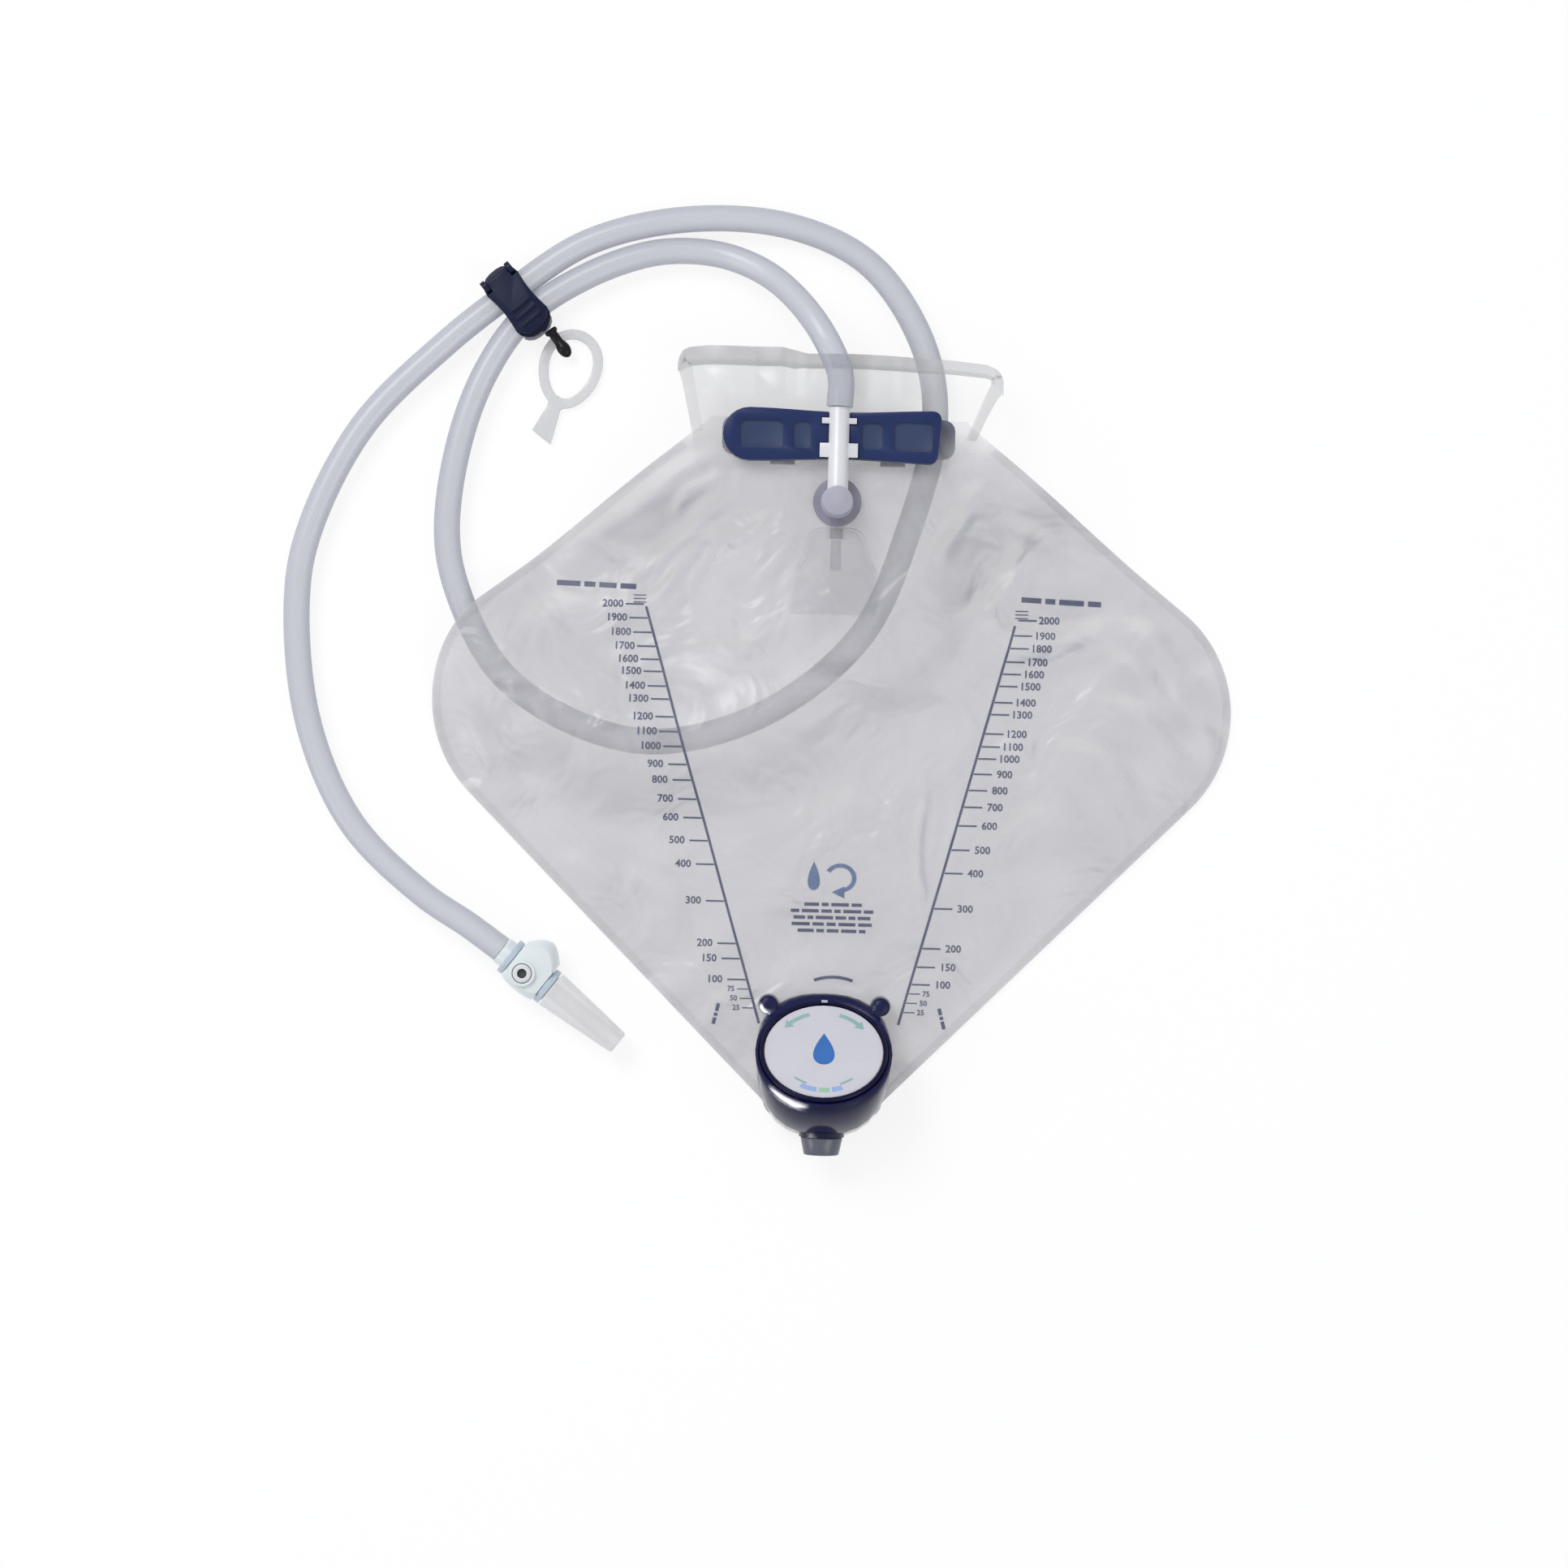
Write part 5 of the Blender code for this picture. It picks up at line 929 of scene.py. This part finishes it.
def header_height(x, y):
    """The sheet dips and waves a little above the hanger, where nothing holds it flat."""
    free = eased(y - SHIFT, 0.1245, 0.012)
    ends = eased(np.abs(x), 0.030, 0.025)
    dip = 0.0016 * (1 - np.cos(x * 120 + 0.8)) * 0.5 + 0.0010 * (1 - np.cos(x * 310)) * 0.5
    return HEADER_Z - free * (dip + 0.0020 * ends)


def header_layers(x, y):
    """How much film is seen through: doubled and milky on the left, single on the right."""
    milky = 0.22 + 1.45 * (1 - eased(x, 0.016, 0.028))
    for place, half, extra in HEADER_STRIPES:
        milky = milky + extra * (1 - eased(np.abs(x - place), half, 0.0010)) * eased(y, 0.1270, 0.004)
    return milky * (0.25 + 0.75 * past_weld(y))


def header_shape(across, up):
    """The sheet's places with their heights."""
    x, y = header_place(across, up)
    return x, y, header_height(x, y)


header_sheet = grid_sheet("header_sheet_clear", 150, 60, header_shape, header_layers)
header_pvc = pvc("header_sheet_pvc", (0.54, 0.54, 0.55), (0.46, 0.46, 0.47), 0.30, 0.60, 45.0, 0.04,
                 0.3, 0.4, 0.2, "layers")
header_sheet.data.materials.append(header_pvc)
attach(header_sheet, "bag")
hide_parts("header_panel")

# The hem's outer edge from the left foot over the top to the right foot, as (across, up)
hem_path = [(-1.0, up) for up in np.linspace(HEM_FOOT, 0.99, 40)]
hem_path += [(across, 1.0) for across in np.linspace(-0.995, 0.995, 150)]
hem_path += [(1.0, up) for up in np.linspace(0.99, HEM_FOOT, 40)]
hem_verts, hem_layers = [], []
for across, up in hem_path:
    deep = HEM_DEPTH - HEM_NARROWER * float(eased(across, -0.30, 0.10))
    for share, lift, layers in HEM_PROFILE:
        held = math.copysign(min(abs(across), 1 - share * HEM_SIDE), across)
        spot_x, spot_y = header_place(np.float64(held), np.float64(min(up, 1 - share * deep)))
        hem_verts.append((float(spot_x), float(spot_y), float(header_height(spot_x, spot_y)) + lift))
        hem_layers.append(layers if up > 0.84 else 0.25 if across < 0 else 0.85)
hem_row = len(HEM_PROFILE)
hem_faces = [(a, a + 1, a + hem_row + 1, a + hem_row)
             for k in range(len(hem_path) - 1) for a in range(hem_row * k, hem_row * k + hem_row - 1)]
hem = drawn("header_hem_fold", hem_verts, hem_faces)
bpy.ops.object.mode_set(mode="EDIT")
bpy.ops.mesh.select_all(action="SELECT")
bpy.ops.mesh.flip_normals()
bpy.ops.object.mode_set(mode="OBJECT")
bpy.ops.object.shade_smooth()
shade_layers(hem, hem_layers)
hem_pvc = pvc("header_hem_pvc", (0.42, 0.42, 0.43), (0.36, 0.36, 0.37), 0.50, 0.75, 80.0, 0.08,
              0.3, 0.3, 0.0, "layers")
hem.data.materials.append(hem_pvc)
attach(hem, "bag")
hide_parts("header_hem")


# Hanger. A navy moulded bar in front and a plate with two rail hooks behind, pressed
# together through the header. The bar has sunk panels, ribs and a saddle for the inlet.

PANEL_FLOOR = 0.02645
hanger_navy = plastic("hanger_navy", (0.009, 0.018, 0.072), (0.018, 0.032, 0.105), 0.26, 0.42, 0.08, 0.16)
panel_navy = plastic("hanger_panels", (0.022, 0.036, 0.092), (0.038, 0.056, 0.115), 0.30, 0.46, 0.10, 0.20)
hook_navy = plastic("hook_navy", (0.016, 0.026, 0.080), (0.028, 0.042, 0.105), 0.28, 0.46, 0.10, 0.25)
hanger_front = moulding("hanger_bar", hanger_navy)
moulding("hanger_hooks", hook_navy, 0.0004)
hanger_front.data.materials.append(panel_navy)
for face in hanger_front.data.polygons:
    if face.normal.z > 0.9 and abs(face.center.z - PANEL_FLOOR) < 0.0002:
        face.material_index = 1


# Inlet elbow. A glossy white-clear moulding: its stem is clipped in the hanger's saddle
# by two pairs of wings, and its turret turns down through the flange into the bag.

TURRET_PLACE = Vector((0.0, 0.0915))
TURRET_REACH, TURRET_FOOT = 0.0090, 0.0222
inlet_white = pvc("inlet_white", (0.86, 0.87, 0.89), (0.72, 0.73, 0.77), 0.70, 0.98, 60.0, 0.02, 0.45)
turret_grey = pvc("inlet_turret", (0.48, 0.475, 0.56), (0.38, 0.375, 0.46), 0.72, 0.98, 60.0, 0.02, 0.45)
flange_grey = pvc("inlet_flange", (0.24, 0.23, 0.31), (0.31, 0.30, 0.38), 0.60, 0.98, 60.0, 0.02, 0.45)
inlet = moulding("inlet_elbow", inlet_white)
inlet.data.materials.append(turret_grey)
inlet.data.materials.append(flange_grey)
for face in inlet.data.polygons:
    if (Vector(face.center[:2]) - TURRET_PLACE).length < TURRET_REACH:
        face.material_index = 2 if face.center.z < TURRET_FOOT else 1


# Drip chamber. Under the front film a clear cap takes the inlet's flow into a flared bell,
# where a soft flutter valve stops anything from running back up the tube.

chamber_clear = pvc("chamber_clear", (0.62, 0.61, 0.71), (0.50, 0.49, 0.59), 0.07, 0.90, 50.0, 0.02, 0.5)
flutter_grey = pvc("flutter_soft", (0.40, 0.39, 0.46), (0.32, 0.31, 0.38), 0.30, 0.80, 60.0, 0.05, 0.4)
moulding("chamber_cap", chamber_clear, 0.0002)
moulding("chamber_bell", chamber_clear)
moulding("flutter_valve", flutter_grey, 0.0)


# Drain valve. A dark navy housing rises from the bag's foot to a tilted round rim. In it
# turns a cup with a printed white dial; the spindle below opens the way to the spout.

RIM_TILT = math.radians(43.0)
RIM_PLACE = Matrix.Translation((0.0, -0.1056, 0.022477)) @ Matrix.Rotation(-RIM_TILT, 4, "X")
GLEAM = ((-1.00, -0.76, 0.44), (1.3, 0.95), 420.0)
valve_navy = plastic("valve_navy", (0.0020, 0.0025, 0.030), (0.004, 0.005, 0.044),
                     0.07, 0.12, 0.02, 0.20, 0.0034)
knob_navy = plastic("knob_navy", (0.0020, 0.0025, 0.022), (0.004, 0.005, 0.030), 0.14, 0.24, 0.05, 0.12)
dial_white = plastic("dial_white", (0.60, 0.59, 0.645), (0.54, 0.535, 0.585), 0.22, 0.34, 0.03, 0.4)
spindle_white = plastic("spindle_white", (0.66, 0.68, 0.70), (0.56, 0.58, 0.60), 0.3, 0.45)
seal_rubber = plastic("seal_rubber", (0.010, 0.010, 0.010), (0.022, 0.022, 0.022), 0.5, 0.7, 0.2, 0.3)
valve_housing = moulding("valve_body", valve_navy, 0.0004, 40.0)
# One lamp lights the housing alone, for the long gleam along its lower left
gleam = area_lamp("lamp_valve_gleam", *GLEAM)
gleam.visible_diffuse = False
gleam_on = bpy.data.collections.new("gleam_on")
gleam_on.objects.link(valve_housing)
gleam.light_linking.receiver_collection = gleam_on
moulding("valve_knob", knob_navy, 0.0002, body="knob")
moulding("dial_plate", dial_white, 0.0, body="knob")


def recoloured(node, finish):
    """A solid that keeps its form, because it is hidden inside, in its real finish."""
    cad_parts[node].data.materials.clear()
    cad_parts[node].data.materials.append(finish)


recoloured("valve_spindle", spindle_white)
recoloured("spindle_seal", seal_rubber)

# The dial's print stands in the dial's own plane and turns with it: arrows for open and
# shut along the rim, small marks at its foot, and a plain blue drop in the middle.
DIAL_INK, RIM_INK = 0.00086, 0.00005
ARROW_RADIUS, ARROW_HALF, ARROW_WIDTH = 0.0176, 0.0020, 0.0016
MARK_RADIUS, MARK_WIDTH = 0.0178, 0.0020
CENTRE = (0.0, 0.0)


def level_face(level):
    """The height of a level face, less the lift that all print gets."""
    return lambda x, y: np.full(np.shape(x), level - PRINT_LIFT)


arrows = ([], [])
for side in (1, -1):
    add_ring(arrows, CENTRE, ARROW_RADIUS, ARROW_WIDTH, 90 - side * 18, 90 - side * 44)
    head = ((ARROW_RADIUS, 54), (ARROW_RADIUS + ARROW_HALF, 44), (ARROW_RADIUS - ARROW_HALF, 44))
    turned = [(reach, math.radians(90 - side * turn)) for reach, turn in head]
    add_patch(arrows, [(reach * math.cos(turn), reach * math.sin(turn)) for reach, turn in turned])
    add_ring(arrows, CENTRE, 0.0160, 0.0008, 270 - side * 22, 270 - side * 40)
dial_drop = ([], [])
add_patch(dial_drop, drop_outline((0.0, 0.0010), 0.0052, 0.0072, 40))
dial_marks, index_mark, centre_mark = ([], []), ([], []), ([], [])
for parts, first, last in (
        (dial_marks, 243.0, 262.0), (dial_marks, 280.0, 292.0), (centre_mark, 265.0, 277.0)):
    add_ring(parts, CENTRE, MARK_RADIUS, MARK_WIDTH, first, last)
add_ring(index_mark, CENTRE, 0.02385, 0.0012, 87.4, 92.6)
for print_name, parts, ink_name, colour, worn in (
        ("print_dial_arrows", arrows, "dial_teal", (0.22, 0.40, 0.38), (0.34, 0.50, 0.48)),
        ("print_dial_drop", dial_drop, "dial_blue", (0.030, 0.130, 0.420), (0.050, 0.180, 0.500)),
        ("print_dial_marks", dial_marks, "dial_pale_blue", (0.26, 0.38, 0.72), (0.34, 0.46, 0.76)),
        ("print_rim_index", index_mark, "rim_index", (0.50, 0.51, 0.58), (0.42, 0.43, 0.50)),
        ("print_dial_centre", centre_mark, "dial_green", (0.28, 0.50, 0.34), (0.36, 0.58, 0.42))):
    level, body = (RIM_INK, "bag") if parts is index_mark else (DIAL_INK, "knob")
    printed(print_name, parts, ink(ink_name, colour, worn), level_face(level), body, RIM_PLACE)


# Outlet. A clear flange inside the bag feeds the valve, and a short smoky spout leaves the
# foot of the housing, to drain into a jug.

flange_clear = pvc("flange_clear", (0.66, 0.67, 0.70), (0.56, 0.57, 0.60), 0.5, 0.9, 50.0, 0.02)
recoloured("outlet_flange", flange_clear)
spout_smoke = plastic("spout_smoke", (0.070, 0.074, 0.105), (0.105, 0.110, 0.145), 0.2, 0.35, 0.05, 0.5)
moulding("outlet_spout", spout_smoke)
